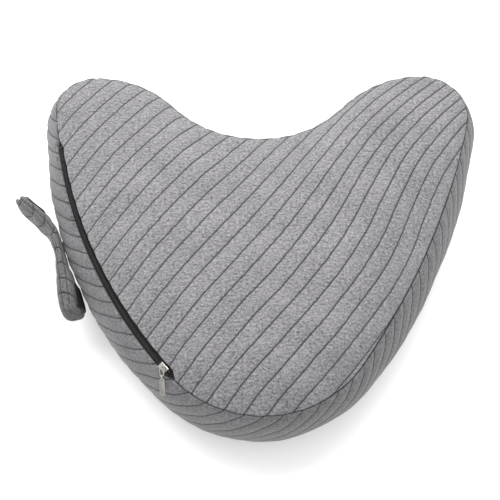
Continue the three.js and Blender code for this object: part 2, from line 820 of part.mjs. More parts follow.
// direction is 1 for the flap towards the lobe, -1 for the one towards the front.
function flapPlace({ direction, splay }) {
  const { origin, along, outward } = strapBase;
  const away = along.clone().multiplyScalar(direction);
  const axis = origin
    .clone()
    .addScaledVector(away, STRAP_ROOT_LENGTH / 2 + STRAP_HINGE_GAP)
    .addScaledVector(outward, STRAP_ROOT_THICKNESS);
  const angle = rad(splay);
  const x = away.clone().multiplyScalar(cos(angle)).addScaledVector(outward, sin(angle));
  const z = outward.clone().multiplyScalar(cos(angle)).addScaledVector(away, -sin(angle));
  return { axis, turn: turnTo(x, z.clone().cross(x), z) };
}

// ---------------------------------------------------------------- assembly

const pillow = new THREE.Group();

function place(name, geometry, material, position, quaternion) {
  const mesh = new THREE.Mesh(geometry, new THREE.MeshStandardMaterial(material));
  mesh.name = name;
  if (position) mesh.position.copy(position);
  if (quaternion) mesh.quaternion.copy(quaternion);
  pillow.add(mesh);
}

place('cover_top_panel', topPanel(), jersey);
place('cover_bottom_panel', bottomPanel(), jersey);
place('cover_outer_band', bandPanel(leftTip, rightTip), jersey);
place('cover_recess_band', bandPanel(rightTip, leftTip), jersey);

place('liner_top_panel', linerPanel(softTopRings, 0, false), liner);
place('liner_bottom_panel', linerPanel([...softBottomRings].reverse(), 1, true), liner);
place('liner_band', linerBand(), liner);
place('fibre_fill', fibreFill(), fibre);

place('zip_tape_upper', tape(-1), tapeBlack);
place('zip_tape_lower', tape(1), tapeBlack);
place('zip_coil_upper', coil(-1), coilBlack);
place('zip_coil_lower', coil(1), coilBlack);
place('zip_top_stop_upper', topStop(-1), coilBlack);
place('zip_top_stop_lower', topStop(1), coilBlack);
place('zip_bottom_stop', bottomStop(), coilBlack);

const sliderPosition = zipPoint(sliderAt, 0, 0);
place('zip_slider_body', sliderBody(), nickel, sliderPosition, zipQuaternion(sliderAt));
place('zip_slider_bridge', sliderBridge(), nickel, sliderPosition, zipQuaternion(sliderAt));
place('zip_pull_link', pullLink(), nickel, linkAxis, linkTurn);
place('zip_pull_tab', pullTab(), nickel, tabAxis, tabTurn);

const { along: rootAlong, outward: rootOut } = strapBase;
const rootTurn = turnTo(rootAlong, rootOut.clone().cross(rootAlong), rootOut);
place('strap_root', strapRoot(), jersey, strapBase.origin, rootTurn);

const flaps = [
  {
    name: 'strap_upper',
    patch: 'loop',
    direction: 1,
    length: UPPER_FLAP_LENGTH,
    tip: UPPER_TIP_RADIUS,
    thickness: UPPER_FLAP_THICKNESS,
    splay: UPPER_FLAP_SPLAY,
  },
  {
    name: 'strap_lower',
    patch: 'hook',
    direction: -1,
    length: LOWER_FLAP_LENGTH,
    tip: LOWER_TIP_RADIUS,
    thickness: LOWER_FLAP_THICKNESS,
    splay: LOWER_FLAP_SPLAY,
  },
];
for (const flap of flaps) {
  const { axis, turn } = flapPlace(flap);
  place(`${flap.name}_outer`, flapTray(flap, true), jersey, axis, turn);
  place(`${flap.name}_inner`, flapTray(flap, false), jersey, axis, turn);
  place(`${flap.name}_wadding`, flapWadding(flap), fibre, axis, turn);
  place(`${flap.name}_${flap.patch}_patch`, flapPatch(flap), hookBlack, axis, turn);
}

export default pillow;
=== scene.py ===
"""Quilted nursing pillow: sewn cover, coil zip, padded strap and studio."""

import math

import bpy
import numpy as np
from bpy.props import FloatProperty, FloatVectorProperty, IntProperty, PointerProperty
from mathutils import Matrix, Vector


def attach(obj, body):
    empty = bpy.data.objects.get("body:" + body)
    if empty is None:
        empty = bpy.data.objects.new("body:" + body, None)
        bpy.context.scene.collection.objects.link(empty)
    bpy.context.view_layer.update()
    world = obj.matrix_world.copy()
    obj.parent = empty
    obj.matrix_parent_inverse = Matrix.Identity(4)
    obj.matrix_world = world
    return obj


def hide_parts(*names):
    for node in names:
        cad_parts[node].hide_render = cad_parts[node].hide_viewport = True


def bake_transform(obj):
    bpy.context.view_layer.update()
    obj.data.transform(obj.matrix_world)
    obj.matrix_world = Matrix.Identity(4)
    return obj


bl_info = {
    "name": "Quilted pillow maker",
    "version": (1, 0, 0),
    "blender": (4, 5, 0),
    "location": "3D View > Sidebar > Pillow",
    "description": "Sews a quilted nursing pillow over its CAD frame",
    "category": "Object",
}

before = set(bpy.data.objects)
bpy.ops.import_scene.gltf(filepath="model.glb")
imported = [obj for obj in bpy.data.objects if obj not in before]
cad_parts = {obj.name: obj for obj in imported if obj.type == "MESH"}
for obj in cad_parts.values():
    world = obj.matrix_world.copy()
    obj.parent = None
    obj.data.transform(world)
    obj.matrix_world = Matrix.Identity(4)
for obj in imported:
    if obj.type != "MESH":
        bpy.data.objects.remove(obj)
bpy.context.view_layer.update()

MM = 0.001
TAU = 2 * math.pi

# ---------------------------------------------------------------- pattern
# Sizes of the sewn pattern in millimetres, as in the CAD frame.

FRONT_Y = -205
FRONT_RADIUS = 137
RECESS_Y = 133
LOBE_BACK_RADIUS = 127
RIGHT = {"half_width": 255, "depth": 425, "start": 54, "end": 75.5}
LEFT = {"half_width": 240, "depth": 419, "start": 49, "end": 85}

TOP_SEAM_Z = 135
BOTTOM_SEAM_Z = 22
CROWN = 35
BULGE_FRONT = 10
BULGE_SIDE = 23
BULGE_RECESS = 12
REST_SHARE = 0.72
PANEL_CENTRE = np.array([0.0, -80.0])

COVER_THICKNESS = 3
LINER_DEPTH = 8.8
LINER_THICKNESS = 1.2

ZIP_LENGTH = 315.5
ZIP_TILT = 33
SLOT_HALF = 6.6
SLOT_RAMP = 9
TAPE_DEPTH = 5.2
TAPE_TUCK = 1.2
TAPE_REACH = 11
TAPE_SPAN = 6.2
TOUCH_GAP = 0.3
CHAIN_GAP = 0.9
COIL_WIDTH = 1.9
COIL_HEIGHT = 1.8
STOP_LENGTH = 3
STOP_INSET = 2


def unit(v):
    """The vectors of an array, each made one long."""
    return v / np.linalg.norm(v, axis=-1, keepdims=True)


def side_arcs(side):
    """Tangent arcs of one half of the top seam, from the front middle round
    to the middle of the waist recess: x, y, heading, radius, turn, length."""
    a, b = math.radians(side["start"]), math.radians(side["end"])
    width = side["half_width"] - FRONT_RADIUS * math.sin(a)
    depth = side["depth"] - FRONT_RADIUS * (1 - math.cos(a))
    ties = [
        [math.sin(b) - math.sin(a), 1 - math.sin(b)],
        [math.cos(a) - math.cos(b), 1 + math.cos(b)],
    ]
    side_radius, corner_radius = np.linalg.solve(ties, [width, depth])
    tip_x = side["half_width"] - corner_radius
    back_y = FRONT_Y + side["depth"] - LOBE_BACK_RADIUS
    drop = RECESS_Y - back_y
    recess = (tip_x**2 + drop**2 - LOBE_BACK_RADIUS**2) / (
        2 * (LOBE_BACK_RADIUS - drop)
    )
    end = math.pi + math.atan2(tip_x, RECESS_Y + recess - back_y)
    arcs = []
    x, y, heading = 0.0, float(FRONT_Y), 0.0
    for radius, to in (
        (FRONT_RADIUS, a),
        (side_radius, b),
        (corner_radius, math.pi),
        (LOBE_BACK_RADIUS, end),
        (recess, math.pi),
    ):
        turn = math.copysign(1, to - heading)
        arcs.append((x, y, heading, radius, turn, abs(to - heading) * radius))
        x += turn * radius * (math.sin(to) - math.sin(heading))
        y += turn * radius * (math.cos(heading) - math.cos(to))
        heading = to
    return arcs


ARCS = {1: side_arcs(RIGHT), -1: side_arcs(LEFT)}
LENGTH = {k: sum(a[5] for a in arcs) for k, arcs in ARCS.items()}


def arc_start(sign, index):
    """Distance along one half of the seam at which an arc starts."""
    return sum(a[5] for a in ARCS[sign][:index])


ZIP_START = arc_start(-1, 1)
ZIP_END = ZIP_START + ZIP_LENGTH
LEFT_TIP = -arc_start(-1, 3)
RIGHT_TIP = arc_start(1, 3)


def outline(s):
    """Seam points and outward directions at signed distances from the front
    middle, positive to the right and wrapping at the recess."""
    s = np.asarray(s, float)
    whole = LENGTH[1] + LENGTH[-1]
    s = (s + LENGTH[-1]) % whole - LENGTH[-1]
    point = np.zeros(s.shape + (2,))
    normal = np.zeros(s.shape + (2,))
    for sign in (1, -1):
        begin = 0.0
        for x, y, h0, radius, turn, length in ARCS[sign]:
            d = np.abs(s) - begin
            here = (s >= 0) == (sign > 0)
            here &= (d >= -1e-9) & (d <= length + 1e-6)
            h = h0 + turn * np.clip(d, 0, length) / radius
            px = x + turn * radius * (np.sin(h) - math.sin(h0))
            py = y + turn * radius * (math.cos(h0) - np.cos(h))
            point[here] = np.stack([sign * px, py], -1)[here]
            normal[here] = np.stack([sign * np.sin(h), -np.cos(h)], -1)[here]
            begin += length
    return point, normal


def bulge_at(point):
    """How far the side band stands out beyond the seam at mid height."""
    c = -point[..., 1] / np.linalg.norm(point, axis=-1)
    front = BULGE_SIDE + (BULGE_FRONT - BULGE_SIDE) * np.clip(c, 0, 1) ** 4
    back = BULGE_SIDE + (BULGE_RECESS - BULGE_SIDE) * np.minimum(1, 2 * c * c)
    return np.where(c > 0, front, back)


def skin(s, w):
    """Outer skin of the pillow. w is -1 at the middle of the top panel, 0 at
    the top seam, 1 at the bottom seam and 2 at the middle of the base."""
    s, w = np.broadcast_arrays(np.asarray(s, float), np.asarray(w, float))
    point, normal = outline(s)
    share = np.where(w <= 0, 1 + w, 2 - w)
    panel = PANEL_CENTRE + (point - PANEL_CENTRE) * share[..., None]
    top_z = TOP_SEAM_Z + CROWN * (1 - share**3)
    rise = np.clip((share - REST_SHARE) / (1 - REST_SHARE), 0, None)
    base_z = BOTTOM_SEAM_Z * rise**2
    v = np.clip(w, 0, 1)
    out = bulge_at(point) * np.sin(np.pi * v) ** 0.7
    band = point + normal * out[..., None]
    band_z = TOP_SEAM_Z - (TOP_SEAM_Z - BOTTOM_SEAM_Z) * v
    on_band = (w > 0) & (w < 1)
    xy = np.where(on_band[..., None], band, panel)
    z = np.where(on_band, band_z, np.where(w <= 0, top_z, base_z))
    return np.concatenate([xy, z[..., None]], -1)


def slot_half(s):
    """Half width of the opening in the top seam, wide only along the zip."""
    inside = np.minimum(-s - ZIP_START + SLOT_RAMP, ZIP_END + SLOT_RAMP + s)
    return SLOT_HALF * np.clip(inside / SLOT_RAMP, 0, 1)


def ripple(p, size, seed):
    """Smooth unevenness between about -1 and 1 over points, in millimetres."""
    rng = np.random.default_rng(seed)
    total = 0
    for _ in range(7):
        d = unit(rng.normal(size=3))
        wave = size * rng.uniform(0.7, 1.5)
        total = total + np.sin(p @ d * TAU / wave + rng.uniform(0, TAU))
    return total / 3.2


# ---------------------------------------------------------------- meshes


def piece(name, points, faces, material, values=None):
    """A smooth mesh object from points in millimetres and lists of corners,
    with values held on its points for the cloth nodes."""
    mesh = bpy.data.meshes.new(name)
    mesh.from_pydata((np.asarray(points) * MM).tolist(), [], faces)
    mesh.validate()
    mesh.polygons.foreach_set("use_smooth", [True] * len(mesh.polygons))
    for key, value in (values or {}).items():
        value = np.asarray(value, np.float32)
        if value.ndim == 2:
            held = mesh.attributes.new(key, "FLOAT_VECTOR", "POINT")
            held.data.foreach_set("vector", value.ravel())
        else:
            held = mesh.attributes.new(key, "FLOAT", "POINT")
            held.data.foreach_set("value", value)
    mesh.materials.append(material)
    obj = bpy.data.objects.new(name, mesh)
    bpy.context.scene.collection.objects.link(obj)
    return obj


def grid_faces(rows, columns, wrap_rows=False, wrap_columns=False, flip=False):
    """Quads over a grid of points numbered row by row."""
    i = np.arange(rows if wrap_rows else rows - 1)[:, None]
    j = np.arange(columns if wrap_columns else columns - 1)[None, :]
    i2, j2 = (i + 1) % rows, (j + 1) % columns
    corners = [i * columns + j, i * columns + j2, i2 * columns + j2, i2 * columns + j]
    quads = np.stack(np.broadcast_arrays(*corners), -1).reshape(-1, 4)
    return (quads[:, ::-1] if flip else quads).tolist()


def strip(s, w_from, w_to, gap_from, gap_to, step):
    """Points across the skin between two values of w, evenly spaced along the
    cloth and closer at the edges, with their distances from both edges."""
    w = np.linspace(w_from, w_to, 500)
    fine = skin(s[:, None], w[None, :])
    run = np.cumsum(np.linalg.norm(np.diff(fine, axis=1), axis=2), axis=1)
    run = np.concatenate([np.zeros((len(s), 1)), run], 1)
    whole = run[:, -1] - gap_from - gap_to
    edge = np.array([0, 0.4, 0.9, 1.5, 2.3, 3.4, 4.8])
    count = max(8, int(np.max(whole) / step))
    inner = 6.2 + (whole[:, None] - 12.4) * np.linspace(0, 1, count)[None, :]
    start = np.broadcast_to(edge, (len(s), len(edge)))
    ahead = np.concatenate([start, inner, whole[:, None] - edge[::-1]], 1)
    at = ahead + np.broadcast_to(gap_from, len(s))[:, None]
    points = np.stack(
        [
            np.stack([np.interp(at[k], run[k], fine[k, :, c]) for c in range(3)], -1)
            for k in range(len(s))
        ]
    )
    return points, ahead, whole[:, None] - ahead


def outward_of(points, closed):
    """Unit normals of a grid whose rows run round the pillow anticlockwise
    and whose columns run from the top down."""
    if closed:
        along = np.roll(points, -1, 0) - np.roll(points, 1, 0)
    else:
        along = np.gradient(points, axis=0)
    down = np.gradient(points, axis=1)
    return unit(np.cross(down, along) + 1e-12)


def edge_fold(distance, radius, pinch):
    """Depth of the rounded turn and the pinch beside a sewn edge."""
    inside = np.clip(radius - distance, 0, radius)
    fold = radius - np.sqrt(radius**2 - inside**2)
    return fold + pinch * np.exp(-distance / 5)


def quilt_depth(phase, depth):
    """Depth of a quilted channel below its crest, deepest on whole phases."""
    return depth * (1 - np.abs(np.sin(np.pi * phase)) ** 0.6)


# ---------------------------------------------------------------- node kit


class Nodes:
    """Short hand for building a material's node tree."""

    def __init__(self, name):
        self.material = bpy.data.materials.new(name)
        self.material.use_nodes = True
        self.tree = self.material.node_tree
        self.shader = self.tree.nodes["Principled BSDF"]

    def add(self, kind, **settings):
        node = self.tree.nodes.new(kind)
        for key, value in settings.items():
            setattr(node, key, value)
        return node

    def feed(self, socket, value):
        if isinstance(value, bpy.types.NodeSocket):
            self.tree.links.new(value, socket)
        elif isinstance(value, tuple) and socket.type == "RGBA":
            socket.default_value = (*value, 1)
        else:
            socket.default_value = value

    def math(self, operation, a, b=0.0, c=None, clamp=False):
        node = self.add("ShaderNodeMath", operation=operation, use_clamp=clamp)
        self.feed(node.inputs[0], a)
        self.feed(node.inputs[1], b)
        if c is not None:
            self.feed(node.inputs[2], c)
        return node.outputs[0]

    def mix(self, share, a, b):
        node = self.add("ShaderNodeMix", data_type="RGBA")
        self.feed(node.inputs["Factor"], share)
        self.feed(node.inputs[6], a)
        self.feed(node.inputs[7], b)
        return node.outputs[2]

    def band(self, value, low, high, to_low=0.0, to_high=1.0):
        node = self.add("ShaderNodeMapRange", interpolation_type="SMOOTHSTEP")
        self.feed(node.inputs["Value"], value)
        self.feed(node.inputs["From Min"], low)
        self.feed(node.inputs["From Max"], high)
        self.feed(node.inputs["To Min"], to_low)
        self.feed(node.inputs["To Max"], to_high)
        return node.outputs["Result"]

    def stretch(self, vector, scale, turn=0.0):
        node = self.add("ShaderNodeMapping")
        self.feed(node.inputs["Vector"], vector)
        node.inputs["Scale"].default_value = scale
        node.inputs["Rotation"].default_value = (0, 0, turn)
        return node.outputs["Vector"]

    def noise(self, vector, scale, detail=2.0, roughness=0.5):
        node = self.add("ShaderNodeTexNoise")
        self.feed(node.inputs["Vector"], vector)
        node.inputs["Scale"].default_value = scale
        node.inputs["Detail"].default_value = detail
        node.inputs["Roughness"].default_value = roughness
        return node.outputs["Fac"]

    def held(self, name):
        node = self.add("ShaderNodeAttribute", attribute_name=name)
        return node.outputs

    def split(self, vector):
        node = self.add("ShaderNodeSeparateXYZ")
        self.feed(node.inputs[0], vector)
        return node.outputs

    def bump(self, height, strength, distance, normal=None):
        node = self.add("ShaderNodeBump")
        node.inputs["Strength"].default_value = strength
        node.inputs["Distance"].default_value = distance
        self.feed(node.inputs["Height"], height)
        if normal is not None:
            self.feed(node.inputs["Normal"], normal)
        return node.outputs["Normal"]

    def surface(self, **inputs):
        for key, value in inputs.items():
            self.feed(self.shader.inputs[key.replace("_", " ")], value)
        return self.material


def jersey(name, c, painted_shade=1.0):
    """Heathered grey jersey with dark quilting thread, painted shade beside each quilting row and
    along each seam crease, and all of it darkened by a painted-shade share where the cloth stands
    in shade. The cloth runs on the held cloth coordinates, the thread on the quilt phase, run and
    pitch."""
    n = Nodes(name)
    cloth = n.held("cloth")["Vector"]
    phase, run, pitch = n.split(n.held("quilt")["Vector"])
    seam = n.held("seam")["Fac"]

    fleck = n.noise(n.stretch(cloth, (310, 430, 1)), 1, 3, 0.7)
    fine = n.noise(cloth, 900, 2, 0.6)
    slub = n.noise(n.stretch(cloth, (105, 400, 1)), 1, 3, 0.65)
    patch = n.noise(n.stretch(cloth, (16, 26, 1)), 1, 3, 0.55)

    tone = n.math("MULTIPLY", n.math("SUBTRACT", fleck, 0.5), 1.75)
    tone = n.math("MULTIPLY_ADD", n.math("SUBTRACT", fine, 0.5), 1.0, tone)
    tone = n.math("MULTIPLY_ADD", n.math("SUBTRACT", slub, 0.5), 0.65, tone)
    tone = n.math("MULTIPLY_ADD", n.math("SUBTRACT", patch, 0.5), 0.35, tone)
    tone = n.math("ADD", tone, 0.44, clamp=True)
    # Painted shade: the yarn colours are scaled by a share below one where the cloth stands in
    # shade (side band, strap).
    dark = tuple(painted_shade * v for v in c.dark)
    light = tuple(painted_shade * v for v in c.light)
    colour = n.mix(tone, dark, light)

    near = n.math("ABSOLUTE", n.math("SUBTRACT", n.math("FRACT", n.math("ADD", phase, 0.5)), 0.5))
    away = n.math("MULTIPLY", near, pitch)
    # Painted shade: the cloth darkens within about 1.7 mm of each quilting row, where shade falls
    # in the groove.
    painted_groove_shade = n.band(away, 0.2, 1.7, 1.0, 0.0)
    colour = n.mix(n.math("MULTIPLY", painted_groove_shade, 0.42), colour, (0.030, 0.029, 0.032))
    stitch = n.math("FRACT", n.math("DIVIDE", run, 2.9))
    dash = n.math("MULTIPLY", n.band(stitch, 0.02, 0.12), n.band(stitch, 0.80, 0.92, 1.0, 0.0))
    cover = n.math("MULTIPLY_ADD", dash, 0.5, 0.42)
    thread = n.math("MULTIPLY", n.band(away, 0.34, 0.80, 1.0, 0.0), cover)
    colour = n.mix(thread, colour, tuple(c.thread))
    # Painted shade: a near-black line within about 1.6 mm of each seam, where shade falls in the
    # seam crease.
    painted_crease_shade = n.band(seam, 0.0, 1.6, 0.75, 0.0)
    colour = n.mix(painted_crease_shade, colour, (0.022, 0.022, 0.024))

    loops = n.add("ShaderNodeTexVoronoi", feature="F1")
    n.feed(loops.inputs["Vector"], n.stretch(cloth, (1150, 850, 1)))
    loops.inputs["Scale"].default_value = 1
    height = n.math("MULTIPLY_ADD", loops.outputs["Distance"], -0.35, n.math("MULTIPLY", slub, 0.8))
    height = n.math("ADD", height, n.math("MULTIPLY", fleck, 0.6))
    normal = n.bump(height, 0.5, 0.0006)
    normal = n.bump(n.band(away, 0.0, 1.5), 0.8, 0.0009, normal)
    rough = n.band(fleck, 0.3, 0.7, 0.84, 0.98)
    n.shader.inputs["Sheen Weight"].default_value = 0.18
    n.shader.inputs["Sheen Roughness"].default_value = 0.55
    n.shader.inputs["Specular IOR Level"].default_value = 0.25
    return n.surface(Base_Color=colour, Roughness=rough, Normal=normal)


def plain_weave(name, colour, other, threads, roughness=0.85):
    """A plain weave on object coordinates, with uneven threads."""
    n = Nodes(name)
    place = n.add("ShaderNodeTexCoord").outputs["Object"]
    across = n.add("ShaderNodeTexWave", bands_direction="X")
    up = n.add("ShaderNodeTexWave", bands_direction="DIAGONAL")
    for wave in (across, up):
        n.feed(wave.inputs["Vector"], place)
        wave.inputs["Scale"].default_value = threads
        wave.inputs["Distortion"].default_value = 0.6
    weave = n.math("MULTIPLY", across.outputs["Fac"], up.outputs["Fac"])
    uneven = n.noise(place, 350, 3)
    tone = n.math("ADD", n.math("MULTIPLY", weave, 0.55), n.math("MULTIPLY", uneven, 0.45))
    n.shader.inputs["Specular IOR Level"].default_value = 0.3
    return n.surface(
        Base_Color=n.mix(tone, colour, other),
        Roughness=n.band(uneven, 0.2, 0.8, roughness - 0.08, roughness + 0.08),
        Normal=n.bump(weave, 0.6, 0.0004),
    )


def moulded(name, colour, other, roughness):
    """Drawn or moulded plastic with faint flow marks."""
    n = Nodes(name)
    place = n.add("ShaderNodeTexCoord").outputs["Object"]
    flow = n.noise(n.stretch(place, (400, 400, 1500)), 1, 2)
    n.shader.inputs["Specular IOR Level"].default_value = 0.5
    return n.surface(
        Base_Color=n.mix(flow, colour, other),
        Roughness=n.band(flow, 0.2, 0.8, roughness - 0.06, roughness + 0.08),
        Normal=n.bump(flow, 0.15, 0.0002),
    )


def plated(name):
    """Nickel plating over cast zinc, tumbled, with rubbed edges."""
    n = Nodes(name)
    place = n.add("ShaderNodeTexCoord").outputs["Object"]
    cloud = n.noise(place, 420, 3)
    scratch = n.noise(n.stretch(place, (2600, 300, 300)), 1, 2)
    edge = n.add("ShaderNodeNewGeometry").outputs["Pointiness"]
    worn = n.band(edge, 0.52, 0.60)
    colour = n.mix(cloud, (0.27, 0.25, 0.23), (0.44, 0.415, 0.39))
    colour = n.mix(n.math("MULTIPLY", worn, 0.5), colour, (0.62, 0.60, 0.57))
    n.shader.inputs["Metallic"].default_value = 1.0
    return n.surface(
        Base_Color=colour,
        Roughness=n.band(scratch, 0.2, 0.8, 0.24, 0.42),
        Normal=n.bump(n.math("ADD", cloud, scratch), 0.12, 0.0002),
    )


def wadding(name):
    """Loose white polyester fibre."""
    n = Nodes(name)
    place = n.add("ShaderNodeTexCoord").outputs["Object"]
    tangle = n.noise(n.stretch(place, (900, 900, 250)), 1, 5, 0.75)
    clump = n.noise(place, 60, 3)
    n.shader.inputs["Sheen Weight"].default_value = 0.4
    return n.surface(
        Base_Color=n.mix(tangle, (0.66, 0.66, 0.65), (0.93, 0.93, 0.92)),
        Roughness=n.band(clump, 0.2, 0.8, 0.85, 1.0),
        Normal=n.bump(n.math("ADD", tangle, clump), 0.8, 0.0016),
    )


# ---------------------------------------------------------------- settings


class PillowCoverSettings(bpy.types.PropertyGroup):
    """Sizes of the quilted cover"""

    pitch: FloatProperty(
        name="Quilting pitch",
        description="Distance between two rows of quilting on the left lobe, in mm",
        default=19.3,
    )
    lean: FloatProperty(
        name="Quilting lean",
        description="Direction of the quilting rows on the left of the top panel",
        default=math.radians(49),
        subtype="ANGLE",
    )
    tighten: FloatProperty(
        name="Right tightening",
        description="How fast the rows close up towards the right lobe, per mm squared",
        default=3e-5,
        precision=7,
    )
    swing: FloatProperty(
        name="Swing", description="Rows by which the quilting swings over on the right", default=1.0
    )
    bend: FloatProperty(
        name="Bend", description="Outward bend of the rows over the right lobe", default=9e-5
    )
    depth: FloatProperty(
        name="Quilting depth",
        description="Depth of the rows below the crests between them, in mm",
        default=1.5,
    )
    band_pitch: FloatProperty(
        name="Band pitch",
        description="Distance along the top seam between rows on the side band, in mm",
        default=22.0,
    )
    band_lean: FloatProperty(
        name="Band lean",
        description="Angle between the rows on the side band and the seam",
        default=math.radians(50),
        subtype="ANGLE",
    )
    lumps: FloatProperty(
        name="Lumps",
        description="Unevenness of the stuffing under the cover, in mm",
        default=0.8,
    )
    fold: FloatProperty(
        name="Seam fold",
        description="Radius of the turned cloth edge at a seam, in mm",
        default=1.5,
    )
    pinch: FloatProperty(
        name="Seam pinch",
        description="How far a seam draws the cloth in, in mm",
        default=0.9,
    )
    dark: FloatVectorProperty(
        name="Dark yarn",
        description="Colour of the dark yarn in the jersey",
        default=(0.035, 0.0339, 0.0359),
        subtype="COLOR",
    )
    light: FloatVectorProperty(
        name="Light yarn",
        description="Colour of the light yarn in the jersey",
        default=(0.312, 0.3035, 0.3172),
        subtype="COLOR",
    )
    thread: FloatVectorProperty(
        name="Thread",
        description="Colour of the quilting thread",
        default=(0.013, 0.013, 0.014),
        subtype="COLOR",
    )
    # Painted shade: the side band is the panel jersey scaled down by this share, standing in for
    # the shade that falls on the band.
    band_painted_shade: FloatProperty(
        name="Band shade",
        description="Colour of the side band, as a share of the panel's",
        default=0.72,
    )
    mesh_step: FloatProperty(
        name="Mesh step",
        description="Distance between mesh points on the cover, in mm",
        default=2.0,
    )


class PillowZipSettings(bpy.types.PropertyGroup):
    """Sizes of the coil zip"""

    coil_pitch: FloatProperty(
        name="Coil pitch", description="Distance between coil loops, in mm", default=1.5
    )
    wire: FloatProperty(
        name="Coil wire", description="Radius of the coil wire, in mm", default=0.36
    )
    ribs: IntProperty(
        name="Tape ribs", description="Woven ribs across each tape", default=7
    )


class PillowStrapSettings(bpy.types.PropertyGroup):
    """Sizes of the padded strap"""

    width: FloatProperty(
        name="Width", description="Height of the strap as it stands, in mm", default=48
    )
    waist: FloatProperty(
        name="Waist", description="Thickness where it is sewn on, in mm", default=12.5
    )
    upper_swell: FloatProperty(
        name="Upper thickness", description="Thickness of the upper end, in mm", default=16.5
    )
    lower_swell: FloatProperty(
        name="Lower thickness", description="Thickness of the lower end, in mm", default=24
    )
    twist: FloatProperty(
        name="Twist", description="How far the lower tip leans away from the pillow",
        default=math.radians(17), subtype="ANGLE",
    )
    # Painted shade: the strap is the panel jersey scaled down by this share, standing in for the
    # shade that falls on the strap.
    painted_shade: FloatProperty(
        name="Shade", description="Colour of the strap, as a share of the panel's", default=0.56
    )
    gusset: FloatProperty(
        name="Edge strip", description="Width of the sewn strip along the edge, in mm", default=8
    )


class PillowStageSettings(bpy.types.PropertyGroup):
    """Studio round the pillow"""

    key: FloatProperty(
        name="Overhead light", description="Power of the overhead softbox", default=68
    )
    underlight: FloatProperty(
        name="Underlight", description="Light that the table gives off itself", default=0.15
    )
    horizon: FloatProperty(
        name="Horizon", description="Share of the room light left at the horizon", default=0.2
    )
    sky: FloatProperty(
        name="Room light", description="Strength of the room light from above", default=1.3
    )
    distance: FloatProperty(
        name="Camera distance", description="Distance to the pillow", default=1.391, unit="LENGTH"
    )
    lens: FloatProperty(
        name="Focal length", description="Focal length of the lens in mm", default=83.6
    )
    tilt: FloatProperty(
        name="Camera tilt", description="Angle from straight down, towards the front",
        default=math.radians(21.54), subtype="ANGLE",
    )
    lean: FloatProperty(
        name="Camera lean", description="Angle from straight down, towards the left",
        default=math.radians(2.91), subtype="ANGLE",
    )
    roll: FloatProperty(
        name="Camera roll", description="Roll about the line of sight",
        default=math.radians(-1.18), subtype="ANGLE",
    )


class PillowSettings(bpy.types.PropertyGroup):
    """All settings of the pillow"""

    cover: PointerProperty(type=PillowCoverSettings)
    zip: PointerProperty(type=PillowZipSettings)
    strap: PointerProperty(type=PillowStrapSettings)
    stage: PointerProperty(type=PillowStageSettings)


# ---------------------------------------------------------------- cover


def panel_quilt(xy, c):
    """Quilting phase, run and pitch over a flat panel, in millimetres. The
    rows steepen towards the right side and bend outwards over its lobe."""

    def rows_at(x, y):
        r = (x + 20 + np.sqrt((x + 20) ** 2 + 45**2)) / 2 - 8
        share = np.clip((x + 40) / 260, 0, 1)
        share = share * share * (3 - 2 * share)
        swing = c.swing * np.tanh((y - 15) / 75) - c.bend * np.maximum(y - 70, 0) ** 2
        straight = (math.sin(c.lean) * x - math.cos(c.lean) * y) / c.pitch
        return straight + c.tighten * r**2 + share * swing

    x, y = xy[..., 0], xy[..., 1]
    gx = rows_at(x + 0.5, y) - rows_at(x - 0.5, y)
    gy = rows_at(x, y + 0.5) - rows_at(x, y - 0.5)
    run = math.cos(c.lean) * x + math.sin(c.lean) * y
    return rows_at(x, y), run, 1 / np.hypot(gx, gy)


def crease_shade_ease(s):
    """Millimetres added to the seam distance where the top seam faces back, which moves the painted
    seam-crease shade off it; the cloth itself is not moved.
    """
    return 2.6 * np.clip((outline(s)[1][:, 1] - 0.2) / 0.3, 0, 1)[:, None]


